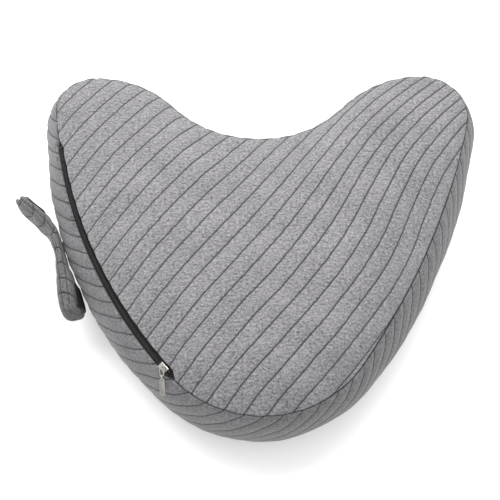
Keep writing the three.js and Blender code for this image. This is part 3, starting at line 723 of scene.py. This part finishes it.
def sew_panel(name, node, c, top, material):
    """The top or bottom panel of the cover, quilted and turned in at its
    edge, from the middle outwards."""
    whole = LENGTH[1] + LENGTH[-1]
    step = c.mesh_step * 1
    s = -LENGTH[-1] + whole * np.arange(int(whole / step)) / int(whole / step)
    gap = slot_half(s) if top else np.zeros(len(s))
    gap = np.maximum(gap, 0.12)
    if top:
        points, inside, edge = strip(s, -1, 0, 0, gap, step)
    else:
        points, edge, inside = strip(s, 1, 2, gap, 0, step)
        points, edge, inside = points[:, ::-1], edge[:, ::-1], inside[:, ::-1]
    along = np.roll(points, -1, 0) - np.roll(points, 1, 0)
    across = np.gradient(points, axis=1)
    normal = unit(np.cross(across, along) + 1e-12) * (1 if top else -1)
    normal[:, :7] = (0, 0, 1 if top else -1)
    xy = points[..., :2]
    wobble = 0.022 * ripple(points, 60, 11) + 0.012 * ripple(points, 15, 12)
    phase, run, pitch = panel_quilt(xy, c)
    phase = phase + wobble
    depth = quilt_depth(phase, c.depth)
    zipped = np.clip(gap / SLOT_HALF, 0, 1)[:, None]
    depth = depth + edge_fold(edge, c.fold + 0.7 * zipped, c.pinch * (1 - 0.6 * zipped))
    lumps = c.lumps * ripple(points, 75, 21) * np.clip(edge / 30, 0, 1)
    if top:
        points = points + normal * (lumps - depth)[..., None]
    else:
        points = points + normal * (-depth)[..., None]
        points[..., 2] = np.maximum(points[..., 2], 0)
    rim = [points[:, -1] - normal[:, -1] * d for d in (0.8, 1.8, 3.0)]
    points = np.concatenate([points, np.stack(rim, 1)], 1)
    extend = lambda a: np.concatenate([a, np.repeat(a[:, -1:], 3, 1)], 1)
    cloth = np.stack([extend(xy[..., 0]), extend(xy[..., 1]), 0 * extend(run)], -1) * MM
    quilt = np.stack([extend(phase), extend(run), extend(pitch)], -1)
    # Distance to the seam for the painted seam-crease shade, kept far off along the zip.
    seam = extend(np.where(zipped > 0.05, 4 + edge, edge + crease_shade_ease(s)))
    rows, columns = points.shape[:2]
    middle = points[:, 0].mean(0)
    flat = points[:, 1:].reshape(-1, 3)
    ring = columns - 1
    faces = grid_faces(rows, ring, wrap_rows=True, flip=not top)
    hub = len(flat)
    for i in range(rows):
        a, b = i * ring, (i + 1) % rows * ring
        faces.append([hub, a, b] if top else [hub, b, a])
    take = lambda v: np.concatenate([v[:, 1:].reshape((-1,) + v.shape[2:]), v[:1, 0]])
    obj = piece(
        name,
        np.concatenate([flat, [middle]]),
        faces,
        material,
        {"cloth": take(cloth), "quilt": take(quilt), "seam": take(seam)},
    )
    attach(obj, "pillow")
    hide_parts(node)
    return obj


def sew_band(name, node, c, start, end, material):
    """A length of the side band between two stations on the top seam."""
    step = c.mesh_step * 1
    s = np.linspace(start + 0.15, end - 0.15, int((end - start) / step))
    gap = np.maximum(slot_half(s), 0.12)
    points, down, up = strip(s, 0, 1, gap, np.full(len(s), 0.12), step)
    normal = outward_of(points, False)
    sides = np.minimum(s - start, end - s)[:, None]
    edge = np.minimum(np.minimum(down, up), sides)
    phase = (s[:, None] + (down + gap[:, None]) / math.tan(c.band_lean)) / c.band_pitch
    phase = phase + 0.05 * ripple(points, 40, 31)
    depth = quilt_depth(phase, c.depth)
    zipped = np.clip(gap / SLOT_HALF, 0, 1)[:, None] * (down < up)
    depth = depth + edge_fold(edge, c.fold + 0.7 * zipped, c.pinch * (1 - 0.6 * zipped))
    lumps = c.lumps * ripple(points, 75, 41) * np.clip(edge / 25, 0, 1)
    points = points + normal * (lumps - depth)[..., None]
    top_rim = [points[:, 0] - normal[:, 0] * d for d in (3.0, 1.8, 0.8)]
    low_rim = [points[:, -1] - normal[:, -1] * d for d in (0.8, 1.8, 3.0)]
    points = np.concatenate([np.stack(top_rim, 1), points, np.stack(low_rim, 1)], 1)
    extend = lambda a: np.concatenate(
        [np.repeat(a[:, :1], 3, 1), a, np.repeat(a[:, -1:], 3, 1)], 1
    )
    nearer_top = down < up
    down, phase = extend(down), extend(phase)
    run = (s[:, None] * math.cos(c.band_lean) - down * math.sin(c.band_lean))
    cloth = np.stack([np.broadcast_to(s[:, None], down.shape), down, 0 * down], -1) * MM
    pitch = c.band_pitch * math.sin(c.band_lean)
    quilt = np.stack([phase, run, np.full(down.shape, pitch)], -1)
    # Distance to the seam for the painted seam-crease shade, kept far off along the zip.
    seam = extend(np.where(zipped > 0.05, 4 + edge, edge + crease_shade_ease(s) * nearer_top))
    rows, columns = points.shape[:2]
    obj = piece(
        name,
        points.reshape(-1, 3),
        grid_faces(rows, columns),
        material,
        {
            "cloth": cloth.reshape(-1, 3),
            "quilt": quilt.reshape(-1, 3),
            "seam": seam.ravel(),
        },
    )
    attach(obj, "pillow")
    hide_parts(node)
    return obj


class PILLOW_OT_cover_panels(bpy.types.Operator):
    """Sew the quilted top and bottom panels of the cover"""

    bl_idname = "pillow.cover_panels"
    bl_label = "Cover panels"

    def execute(self, context):
        c = context.scene.pillow.cover
        material = jersey("jersey_panel", c)
        sew_panel("cover_top", "cover_top_panel", c, True, material)
        sew_panel("cover_bottom", "cover_bottom_panel", c, False, material)
        return {"FINISHED"}


class PILLOW_OT_cover_bands(bpy.types.Operator):
    """Sew the quilted side bands of the cover"""

    bl_idname = "pillow.cover_bands"
    bl_label = "Side bands"

    def execute(self, context):
        c = context.scene.pillow.cover
        # The side band gets the panel jersey darkened with painted shade.
        material = jersey("jersey_band", c, c.band_painted_shade)
        whole = LENGTH[1] + LENGTH[-1]
        sew_band("cover_side", "cover_outer_band", c, LEFT_TIP, RIGHT_TIP, material)
        sew_band("cover_waist", "cover_recess_band", c, RIGHT_TIP, LEFT_TIP + whole, material)
        return {"FINISHED"}


class PILLOW_OT_inner_casing(bpy.types.Operator):
    """Make the white inner casing and its fibre filling"""

    bl_idname = "pillow.inner_casing"
    bl_label = "Casing and filling"

    def execute(self, context):
        cotton = plain_weave("casing_cotton", (0.70, 0.69, 0.67), (0.90, 0.89, 0.87), 900)
        whole = LENGTH[1] + LENGTH[-1]
        s = -LENGTH[-1] + whole * np.arange(190) / 190

        def layer(w, depth):
            points = skin(s[:, None], w[None, :])
            along = np.roll(points, -1, 0) - np.roll(points, 1, 0)
            across = np.gradient(points, axis=1)
            normal = unit(np.cross(across, along) + 1e-12)
            soft = 0.5 * (np.roll(normal, 1, 1) + np.roll(normal, -1, 1))
            normal[:, 1:-1] = unit(soft[:, 1:-1] + 1e-12)
            normal[:, 0] = (0, 0, 1)
            normal[:, -1] = (0, 0, -1)
            wrinkle = 0.5 * ripple(points, 26, 51)
            return points - normal * (depth - wrinkle)[..., None]

        w = np.concatenate(
            [
                np.linspace(-1, -0.03, 34),
                np.linspace(0, 1, 40),
                np.linspace(1.03, 2, 34),
            ]
        )
        shell = layer(w, np.full((len(s), len(w)), LINER_DEPTH))
        cuts = {
            "casing_top": ("liner_top_panel", 0, 35),
            "casing_side": ("liner_band", 34, 74),
            "casing_bottom": ("liner_bottom_panel", 73, 108),
        }
        for name, (node, a, b) in cuts.items():
            part = shell[:, a:b]
            obj = piece(name, part.reshape(-1, 3), grid_faces(len(s), b - a, True), cotton)
            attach(obj, "pillow")
            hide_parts(node)
        deep = LINER_DEPTH + LINER_THICKNESS + 1.2
        core = layer(w[::2], np.full((len(s), len(w[::2])), deep))
        fill = piece(
            "filling",
            core.reshape(-1, 3),
            grid_faces(len(s), core.shape[1], True),
            wadding("fibre"),
        )
        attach(fill, "pillow")
        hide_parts("fibre_fill")
        return {"FINISHED"}


# ---------------------------------------------------------------- zip


def zip_frame(s):
    """Seam point, direction along the chain, direction across it towards the
    band, and direction straight out of the tape."""
    point, outward = outline(-np.asarray(s, float))
    flat = np.concatenate([outward, np.zeros(outward.shape[:-1] + (1,))], -1)
    along = np.stack([outward[..., 1], -outward[..., 0], 0 * outward[..., 0]], -1)
    tilt = math.radians(ZIP_TILT)
    up = np.array([0.0, 0.0, 1.0])
    across = math.cos(tilt) * flat - math.sin(tilt) * up
    out = math.sin(tilt) * flat + math.cos(tilt) * up
    z = np.full(point.shape[:-1] + (1,), float(TOP_SEAM_Z))
    return np.concatenate([point, z], -1), along, across, out


def zip_point(s, across, out):
    """A point beside the chain, by its distances across and out of it."""
    origin, _, side, up = zip_frame(s)
    s = np.asarray(s, float)
    across = np.broadcast_to(across, s.shape)[..., None]
    out = np.broadcast_to(out, s.shape)[..., None]
    return origin + side * across + up * out


def tube(path, side, up, radius, around=6):
    """Rings of points round a path, with its own side and up directions."""
    a = np.arange(around) * TAU / around
    ring = side[:, None] * np.cos(a)[None, :, None] + up[:, None] * np.sin(a)[None, :, None]
    return path[:, None] + ring * radius


TAPE_TOP = -TAPE_DEPTH
COIL_UNDER = TAPE_TOP + TOUCH_GAP
CHAIN_START = ZIP_START + STOP_INSET + STOP_LENGTH + TOUCH_GAP
CHAIN_END = ZIP_END - STOP_INSET - STOP_LENGTH - TOUCH_GAP


class PILLOW_OT_zip_tapes(bpy.types.Operator):
    """Weave the two zip tapes with their ribs"""

    bl_idname = "pillow.zip_tapes"
    bl_label = "Zip tapes"

    def execute(self, context):
        z = context.scene.pillow.zip
        material = plain_weave(
            "tape_weave", (0.006, 0.006, 0.0065), (0.020, 0.020, 0.021), 1400, 0.8
        )
        s = np.arange(ZIP_START - SLOT_RAMP, ZIP_END + SLOT_RAMP + 0.5, 1.0)
        for side, name, node in (
            (-1, "tape_upper", "zip_tape_upper"),
            (1, "tape_lower", "zip_tape_lower"),
        ):
            w = np.linspace(0, side * 0.5, 900)
            seam = skin(-s[:, None], w[None, :])
            far = np.linalg.norm(seam - seam[:, :1], axis=2)
            hidden = np.stack([seam[k, np.searchsorted(far[k], TAPE_REACH)] for k in range(len(s))])
            _, _, _, out_dir = zip_frame(s)
            hidden = hidden - out_dir * (COVER_THICKNESS + TAPE_TUCK)
            steps = np.linspace(0.15, TAPE_SPAN, 22)
            rib = 0.09 * np.cos(steps / TAPE_SPAN * z.ribs * TAU)
            flat = [zip_point(s, side * a, TAPE_TOP + r) for a, r in zip(steps, rib)]
            last = flat[-1]
            tuck = [last + (hidden - last) * t for t in (0.35, 0.7, 1.0)]
            top = np.stack(flat + tuck, 1)
            under = top[:, ::-1] - out_dir[:, None] * 0.6
            points = np.concatenate([top, under], 1)
            rows, columns = points.shape[:2]
            faces = grid_faces(rows, columns, False, True, flip=side < 0)
            ends = list(range(columns))
            far_end = [(rows - 1) * columns + k for k in ends]
            faces.append(ends if side < 0 else ends[::-1])
            faces.append(far_end[::-1] if side < 0 else far_end)
            obj = piece(name, points.reshape(-1, 3), faces, material)
            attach(obj, "pillow")
            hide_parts(node)
        return {"FINISHED"}


class PILLOW_OT_zip_chain(bpy.types.Operator):
    """Wind the two interlocked coils with their sewing threads"""

    bl_idname = "pillow.zip_chain"
    bl_label = "Zip chain"

    def execute(self, context):
        z = context.scene.pillow.zip
        plastic = moulded("coil_plastic", (0.007, 0.007, 0.008), (0.020, 0.020, 0.022), 0.45)
        turns = int((CHAIN_END - CHAIN_START) / z.coil_pitch)
        per_turn = 10
        t = np.arange(turns * per_turn + 1) / per_turn
        for side, name, node in (
            (-1, "coil_upper", "zip_coil_upper"),
            (1, "coil_lower", "zip_coil_lower"),
        ):
            a = t * TAU
            half = (CHAIN_GAP + COIL_WIDTH + 0.45 - z.wire) / 2
            centre = side * (half - 0.45)
            across = centre - side * half * np.cos(a)
            up = COIL_UNDER + COIL_HEIGHT / 2 + (COIL_HEIGHT / 2 - z.wire) * np.sin(a)
            shift = 0 if side < 0 else 0.5
            along = CHAIN_START + z.coil_pitch * np.clip(t + shift, 0, turns)
            path = zip_point(along, across, up)
            heading = unit(np.gradient(path, axis=0))
            _, chain, _, _ = zip_frame(along)
            side_dir = unit(np.cross(heading, chain))
            up_dir = np.cross(side_dir, heading)
            rings = tube(path, side_dir, up_dir, z.wire, 5)
            rows, columns = rings.shape[:2]
            faces = grid_faces(rows, columns, False, True, True)
            coil = piece(name, rings.reshape(-1, 3), faces, plastic)
            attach(coil, "pillow")
            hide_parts(node)

            seam_s = np.arange(CHAIN_START, CHAIN_END, 0.5)
            wave = 0.22 * np.sin(seam_s * TAU / 2.4)
            place = side * (CHAIN_GAP + COIL_WIDTH + 0.55)
            lift = TAPE_TOP + 0.28 + wave
            path = zip_point(seam_s, place, lift)
            _, _, across_dir, out_dir = zip_frame(seam_s)
            rings = tube(path, across_dir, out_dir, 0.24, 5)
            rows, columns = rings.shape[:2]
            thread = piece(
                name.replace("coil", "coil_thread"),
                rings.reshape(-1, 3),
                grid_faces(rows, columns, False, True, True),
                plastic,
            )
            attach(thread, "pillow")
        return {"FINISHED"}


class PILLOW_OT_zip_metal(bpy.types.Operator):
    """Plate the slider and its pull, and give the stops black moulded plastic"""

    bl_idname = "pillow.zip_metal"
    bl_label = "Slider and stops"

    def execute(self, context):
        nickel = plated("nickel")
        for node in (
            "zip_slider_body",
            "zip_slider_bridge",
            "zip_pull_link",
            "zip_pull_tab",
        ):
            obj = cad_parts[node]
            obj.data.materials.clear()
            obj.data.materials.append(nickel)
        black = moulded("stop_plastic", (0.006, 0.006, 0.007), (0.018, 0.018, 0.019), 0.42)
        for node in ("zip_top_stop_upper", "zip_top_stop_lower", "zip_bottom_stop"):
            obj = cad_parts[node]
            obj.data.materials.clear()
            obj.data.materials.append(black)
        return {"FINISHED"}


# ---------------------------------------------------------------- strap

STRAP_Z = 80.0
STRAP_ROOT_SHARE = 0.705
STRAP_STAND_OFF = 0.5
STRAP_ROOT_LENGTH = 12
STRAP_ROOT_THICKNESS = 4
STRAP_HINGE_GAP = 1.5
PATCH_LENGTH = 30
PATCH_INSET = 9
PATCH_WIDTH_SHARE = 0.66
ENDS = {
    "upper": {"way": 1, "length": 62.5, "splay": 24, "thickness": 15, "tip": 15, "lean": 0},
    "lower": {"way": -1, "length": 96, "splay": 2.5, "thickness": 22, "tip": 24, "lean": 3.5},
}


def strap_root():
    """Place where the strap is sewn on in plan, with its directions along the
    band towards the lobe and out of it."""
    point, out = outline(-(ZIP_START + ZIP_LENGTH * STRAP_ROOT_SHARE))
    along = np.array([out[1], -out[0]])
    return point + out * (bulge_at(point) + STRAP_STAND_OFF), along, out


def flap_frame(end):
    """Fold line of one end of the strap in plan, with its directions along
    the flap and out of its outer face."""
    sizes = ENDS[end]
    root, along, out = strap_root()
    away = along * sizes["way"]
    axis = root + away * (STRAP_ROOT_LENGTH / 2 + STRAP_HINGE_GAP)
    axis = axis + out * STRAP_ROOT_THICKNESS
    c, s = math.cos(math.radians(sizes["splay"])), math.sin(math.radians(sizes["splay"]))
    return axis, away * c + out * s, out * c - away * s


def bezier(p, t):
    """Points of a cubic curve through four handles."""
    t = t[:, None]
    return (
        p[0] * (1 - t) ** 3
        + 3 * p[1] * t * (1 - t) ** 2
        + 3 * p[2] * t * t * (1 - t)
        + p[3] * t**3
    )


def strap_path(end, p):
    """Middle line of one end of the strap in plan, from where it is sewn on,
    with its distances and its out directions."""
    sizes = ENDS[end]
    root, along, out = strap_root()
    axis, direction, face = flap_frame(end)
    start = root + out * (p.waist / 2 - 0.5)
    middle = sizes["thickness"] / 2 - STRAP_ROOT_THICKNESS + STRAP_STAND_OFF - sizes["lean"]
    tip = axis + direction * sizes["length"] + face * middle
    lead, tail = (20, 34) if end == "upper" else (34, 40)
    handles = [start, start + along * sizes["way"] * lead, tip - direction * tail, tip]
    path = bezier(handles, np.linspace(0, 1, 400))
    run = np.concatenate([[0], np.cumsum(np.linalg.norm(np.diff(path, axis=0), axis=1))])
    heading = unit(np.gradient(path, axis=0))
    side = np.stack([-heading[:, 1], heading[:, 0]], -1) * sizes["way"]
    return path, run, side


def swell_of(end, share, p):
    """Thickness of the strap at a share of its length from the sewn middle."""
    if end == "upper":
        rise = np.clip(share / 0.42, 0, 1)
        ease = rise * rise * (3 - 2 * rise)
        return p.waist + (p.upper_swell - p.waist) * ease - 2.2 * np.clip(share - 0.55, 0, 1)
    rise = np.clip((share - 0.22) / 0.5, 0, 1)
    ease = rise * rise * (3 - 2 * rise)
    return p.waist + (p.lower_swell - p.waist) * ease


def strap_skin(end, p, run_at, angle):
    """Skin points of one end of the strap at distances from its middle and
    angles round it, 0 facing away from the pillow and a quarter at the top
    edge. Returns points, thickness offsets and height offsets."""
    path, run, out = strap_path(end, p)
    length = run[-1]
    x = np.interp(run_at, run, path[:, 0])
    y = np.interp(run_at, run, path[:, 1])
    ox = np.interp(run_at, run, out[:, 0])
    oy = np.interp(run_at, run, out[:, 1])
    share = run_at / length
    thick = swell_of(end, share, p)
    tip = ENDS[end]["tip"]
    near = np.clip((run_at - (length - tip)) / tip, 0, 1)
    taper = (1 - near**2.3) ** (1 / 2.3)
    thin = (1 - near**3.2) ** (1 / 3.0)
    c, s = np.cos(angle), np.sin(angle)
    dt = 0.5 * thick * thin * np.sign(c) * np.abs(c) ** 0.62
    dz = 0.5 * p.width * taper * np.sign(s) * np.abs(s) ** 0.72
    twist = (p.twist if end == "lower" else 0.25 * p.twist) * share**2
    turned = dt * np.cos(twist) + dz * np.sin(twist)
    raised = dz * np.cos(twist) - dt * np.sin(twist)
    pts = np.stack([x + ox * turned, y + oy * turned, STRAP_Z + raised], -1)
    return pts, dt, dz


def sew_strap_end(name, nodes, end, p, material):
    """One end of the padded strap, boxed with an edge strip."""
    _, run, _ = strap_path(end, p)
    length = run[-1]
    rows = int(length / (0.9))
    around = 120
    ease = 1 - (1 - np.linspace(0, 1, rows)) ** 1.25
    at = (ease * (length - 0.02))[:, None] * np.ones((1, around))
    angle = (np.arange(around) * TAU / around)[None, :] * np.ones((rows, 1))
    points, dt, dz = strap_skin(end, p, at, angle)
    down = np.gradient(points, axis=0)
    round_ = np.roll(points, -1, 1) - np.roll(points, 1, 1)
    normal = unit(np.cross(round_, down) + 1e-12)
    centre = points.mean(1, keepdims=True)
    facing = np.sum(normal * (points - centre), -1).mean()
    normal = normal * np.sign(facing)

    rim = np.abs(dz) / (0.5 * p.width)
    on_edge = np.clip((rim - 0.72) / 0.2, 0, 1)
    half = p.gusset / 2 if end == "lower" else 0.3
    strip_half = np.minimum(half, 0.33 * swell_of(end, at / length, p))
    line = np.abs(np.abs(dt) - strip_half) + 8 * (1 - on_edge)
    phase = (at + 0.75 * np.abs(dz) + (0.35 if end == "upper" else 0.1) * dt * 3) / 19.0
    phase = phase + 0.05 * ripple(points, 22, 61)
    depth = quilt_depth(phase, 1.15) + 1.0 * np.exp(-((line / 1.1) ** 2))
    if end == "upper":
        mouth = np.clip((at - (length - 17)) / 12, 0, 1)
        depth = depth + 3.6 * mouth * np.exp(-((dt / 1.3) ** 2)) * np.clip((rim - 0.2) / 0.4, 0, 1)
    lumps = 0.6 * ripple(points, 19, 62)
    points = points + normal * (lumps - depth)[..., None]
    cloth = np.stack([at, angle / TAU * 110, 0 * at], -1) * MM
    quilt = np.stack([phase, angle / TAU * 110, np.full(at.shape, 15.0)], -1)
    faces = grid_faces(rows, around, False, True, flip=(end == "lower"))
    hub = rows * around
    last = (rows - 1) * around
    tip = points[-1].mean(0)
    flat = np.concatenate([points.reshape(-1, 3), [tip]])
    for k in range(around):
        a, b = last + k, last + (k + 1) % around
        faces.append([hub, a, b] if end == "lower" else [hub, b, a])
    take = lambda v: np.concatenate([v.reshape((-1,) + v.shape[2:]), v[-1, :1]])
    obj = piece(
        name,
        flat,
        faces,
        material,
        {"cloth": take(cloth), "quilt": take(quilt), "seam": take(line)},
    )
    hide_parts(*nodes)
    root, along, _ = strap_root()
    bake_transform(obj)
    return obj


def strap_patch(name, node, body, end, p, material, bumps):
    """A fastening patch on the face of the strap towards the pillow."""
    path, run, _ = strap_path(end, p)
    length = run[-1]
    rows, columns = 40, 44
    outer_end = length - PATCH_INSET
    at = np.linspace(outer_end - PATCH_LENGTH, outer_end, rows)[:, None] * np.ones((1, columns))
    t = np.linspace(-1, 1, columns)[None, :] * np.ones((rows, 1))
    angle = math.pi - np.arcsin(t * PATCH_WIDTH_SHARE)
    points, _, _ = strap_skin(end, p, at, angle)
    across = np.gradient(points, axis=1)
    down = np.gradient(points, axis=0)
    normal = unit(np.cross(across, down) + 1e-12)
    middle = np.array([*path[-1], STRAP_Z])
    inward = np.sum(normal * (points - middle), -1).mean()
    normal = normal * np.sign(inward)
    rng = np.random.default_rng(5)
    pile = bumps * rng.uniform(0, 1, at.shape)
    i = np.minimum(np.arange(rows), rows - 1 - np.arange(rows))[:, None]
    j = np.minimum(np.arange(columns), columns - 1 - np.arange(columns))[None, :]
    edge = np.clip(np.minimum(i, j) / 2, 0, 1)
    top = points + normal * (0.1 + edge * (1.0 + pile))[..., None]
    under = points - normal * 1.2
    flat = np.concatenate([top.reshape(-1, 3), under.reshape(-1, 3)])
    faces = grid_faces(rows, columns, flip=np.sign(inward) > 0)
    low = [[v + rows * columns for v in f[::-1]] for f in faces]
    ring = (
        [k for k in range(columns)]
        + [k * columns + columns - 1 for k in range(1, rows)]
        + [(rows - 1) * columns + k for k in range(columns - 2, -1, -1)]
        + [k * columns for k in range(rows - 2, 0, -1)]
    )
    walls = []
    for k in range(len(ring)):
        a, b = ring[k], ring[(k + 1) % len(ring)]
        walls.append([a, b, b + rows * columns, a + rows * columns])
    obj = piece(name, flat, faces + low + walls, material)
    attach(obj, body)
    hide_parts(node)
    return obj


class PILLOW_OT_strap(bpy.types.Operator):
    """Sew the padded strap with its two ends and fastening patches"""

    bl_idname = "pillow.strap"
    bl_label = "Padded strap"

    def execute(self, context):
        p = context.scene.pillow.strap
        # The strap gets the panel jersey darkened with painted shade.
        material = jersey("jersey_strap", context.scene.pillow.cover, p.painted_shade)
        for end in ("upper", "lower"):
            body = f"strap_{end}"
            nodes = (f"{body}_outer", f"{body}_inner", f"{body}_wadding")
            sew_strap_end(f"{body}_pad", nodes, end, p, material)
        black = moulded("hook_tape", (0.006, 0.006, 0.0065), (0.020, 0.020, 0.021), 0.6)
        for name, node, body, end, bumps in (
            ("strap_hook_patch", "strap_lower_hook_patch", "strap_lower", "lower", 0.5),
            ("strap_loop_patch", "strap_upper_loop_patch", "strap_upper", "upper", 0.3),
        ):
            strap_patch(name, node, body, end, p, black, bumps)

        rows, around = 34, 48
        t = np.linspace(-1, 1, rows)[:, None] * np.ones((1, around))
        a = (np.arange(around) * TAU / around)[None, :] * np.ones((rows, 1))
        fade = np.sqrt(np.clip(1 - np.abs(t) ** 6, 1e-4, 1))
        out = 1.9 + 2.0 * np.sign(np.cos(a)) * np.abs(np.cos(a)) ** 0.5 * fade
        high = 21.5 * np.sign(np.sin(a)) * np.abs(np.sin(a)) ** 0.8 * fade
        root, along, away = strap_root()
        plan = root + along * (t * 11)[..., None] + away * out[..., None]
        points = np.concatenate([plan, (STRAP_Z + high)[..., None]], -1)
        faces = grid_faces(rows, around, False, True)
        faces.append(list(range(around))[::-1])
        faces.append([(rows - 1) * around + k for k in range(around)])
        cloth = np.stack([t * 11, high, 0 * t], -1) * MM
        row = np.stack([np.full(t.shape, 0.5), high, np.full(t.shape, 15.0)], -1)
        line = np.abs(np.abs(t * 11) - 8)
        tab = piece(
            "strap_tab",
            points.reshape(-1, 3),
            faces,
            material,
            {"cloth": cloth.reshape(-1, 3), "quilt": row.reshape(-1, 3), "seam": line.ravel()},
        )
        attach(tab, "pillow")
        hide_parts("strap_root")
        return {"FINISHED"}


# ---------------------------------------------------------------- studio


class PILLOW_OT_stage(bpy.types.Operator):
    """Set the floor, the lights and the camera"""

    bl_idname = "pillow.stage"
    bl_label = "Studio"

    def execute(self, context):
        g = context.scene.pillow.stage
        scene = context.scene
        scene.view_settings.view_transform = "Standard"

        n = Nodes("floor_paper")
        place = n.add("ShaderNodeTexCoord").outputs["Object"]
        grain = n.noise(place, 180, 3)
        paper = n.surface(
            Base_Color=n.mix(grain, (0.90, 0.90, 0.90), (0.93, 0.93, 0.93)),
            Roughness=0.9,
        )
        n.shader.inputs["Specular IOR Level"].default_value = 0.0
        n.shader.inputs["Emission Color"].default_value = (1, 1, 1, 1)
        n.shader.inputs["Emission Strength"].default_value = g.underlight
        size = 60000
        floor = piece(
            "floor",
            [(-size, -size, 0), (size, -size, 0), (size, size, 0), (-size, size, 0)],
            [[0, 1, 2, 3]],
            paper,
        )

        world = scene.world or bpy.data.worlds.new("room")
        scene.world = world
        world.use_nodes = True
        back = world.node_tree.nodes["Background"]
        nodes, links = world.node_tree.nodes, world.node_tree.links
        where = nodes.new("ShaderNodeTexCoord")
        height = nodes.new("ShaderNodeSeparateXYZ")
        links.new(where.outputs["Generated"], height.inputs["Vector"])
        rise = nodes.new("ShaderNodeMapRange")
        rise.inputs["From Min"].default_value = 0.0
        rise.inputs["From Max"].default_value = 0.75
        rise.inputs["To Min"].default_value = g.sky * g.horizon
        rise.inputs["To Max"].default_value = g.sky
        links.new(height.outputs["Z"], rise.inputs["Value"])
        back.inputs["Color"].default_value = (1, 1, 1, 1)
        links.new(rise.outputs["Result"], back.inputs["Strength"])

        def softbox(name, place, target, size, power):
            lamp = bpy.data.lights.new(name, "AREA")
            lamp.shape = "RECTANGLE"
            lamp.size, lamp.size_y = size
            lamp.energy = power
            obj = bpy.data.objects.new(name, lamp)
            obj.location = place
            look = Vector(target) - Vector(place)
            obj.rotation_euler = look.to_track_quat("-Z", "Y").to_euler()
            scene.collection.objects.link(obj)

        softbox("overhead", (-0.2, 0.95, 1.9), (0, 0.05, 0), (2.4, 1.4), g.key)

        def turned(v):
            return np.array(v) / np.linalg.norm(v)

        tilt, lean, roll = g.tilt, g.lean, g.roll
        back_dir = turned(
            (
                -math.sin(lean),
                -math.sin(tilt) * math.cos(lean),
                math.cos(tilt) * math.cos(lean),
            )
        )
        right = turned(np.cross((0, 1, 0), back_dir))
        up = np.cross(back_dir, right)
        side = math.cos(roll) * right + math.sin(roll) * up
        top = -math.sin(roll) * right + math.cos(roll) * up
        camera = bpy.data.cameras.new("camera")
        camera.lens = g.lens
        camera.sensor_width = 36
        camera.shift_x = -0.0156
        camera.shift_y = 0.0254
        eye = bpy.data.objects.new("camera", camera)
        place = np.array((0, 0, 0.07)) + back_dir * g.distance
        axes = np.stack([side, top, back_dir], 1)
        matrix = Matrix(axes.tolist()).to_4x4()
        matrix.translation = Vector(place.tolist())
        eye.matrix_world = matrix
        scene.collection.objects.link(eye)
        scene.camera = eye
        return {"FINISHED"}


# ---------------------------------------------------------------- panel


OPERATORS = (
    PILLOW_OT_stage,
    PILLOW_OT_cover_panels,
    PILLOW_OT_cover_bands,
    PILLOW_OT_inner_casing,
    PILLOW_OT_zip_tapes,
    PILLOW_OT_zip_chain,
    PILLOW_OT_zip_metal,
    PILLOW_OT_strap,
)


class PILLOW_PT_maker(bpy.types.Panel):
    """Settings and pieces of the quilted pillow"""

    bl_idname = "PILLOW_PT_maker"
    bl_label = "Quilted pillow"
    bl_space_type = "VIEW_3D"
    bl_region_type = "UI"
    bl_category = "Pillow"

    def draw(self, context):
        settings = context.scene.pillow
        for group in (settings.cover, settings.zip, settings.strap, settings.stage):
            box = self.layout.box()
            for key in group.bl_rna.properties.keys():
                if key not in ("rna_type", "name"):
                    box.prop(group, key)
        for operator in OPERATORS:
            self.layout.operator(operator.bl_idname)


CLASSES = (
    PillowCoverSettings,
    PillowZipSettings,
    PillowStrapSettings,
    PillowStageSettings,
    PillowSettings,
    *OPERATORS,
    PILLOW_PT_maker,
)


def register():
    for cls in CLASSES:
        bpy.utils.register_class(cls)
    bpy.types.Scene.pillow = PointerProperty(type=PillowSettings)


def unregister():
    del bpy.types.Scene.pillow
    for cls in reversed(CLASSES):
        bpy.utils.unregister_class(cls)


def main():
    register()
    for operator in OPERATORS:
        name = operator.bl_idname.split(".")[1]
        getattr(bpy.ops.pillow, name)()


if __name__ == "__main__":
    main()
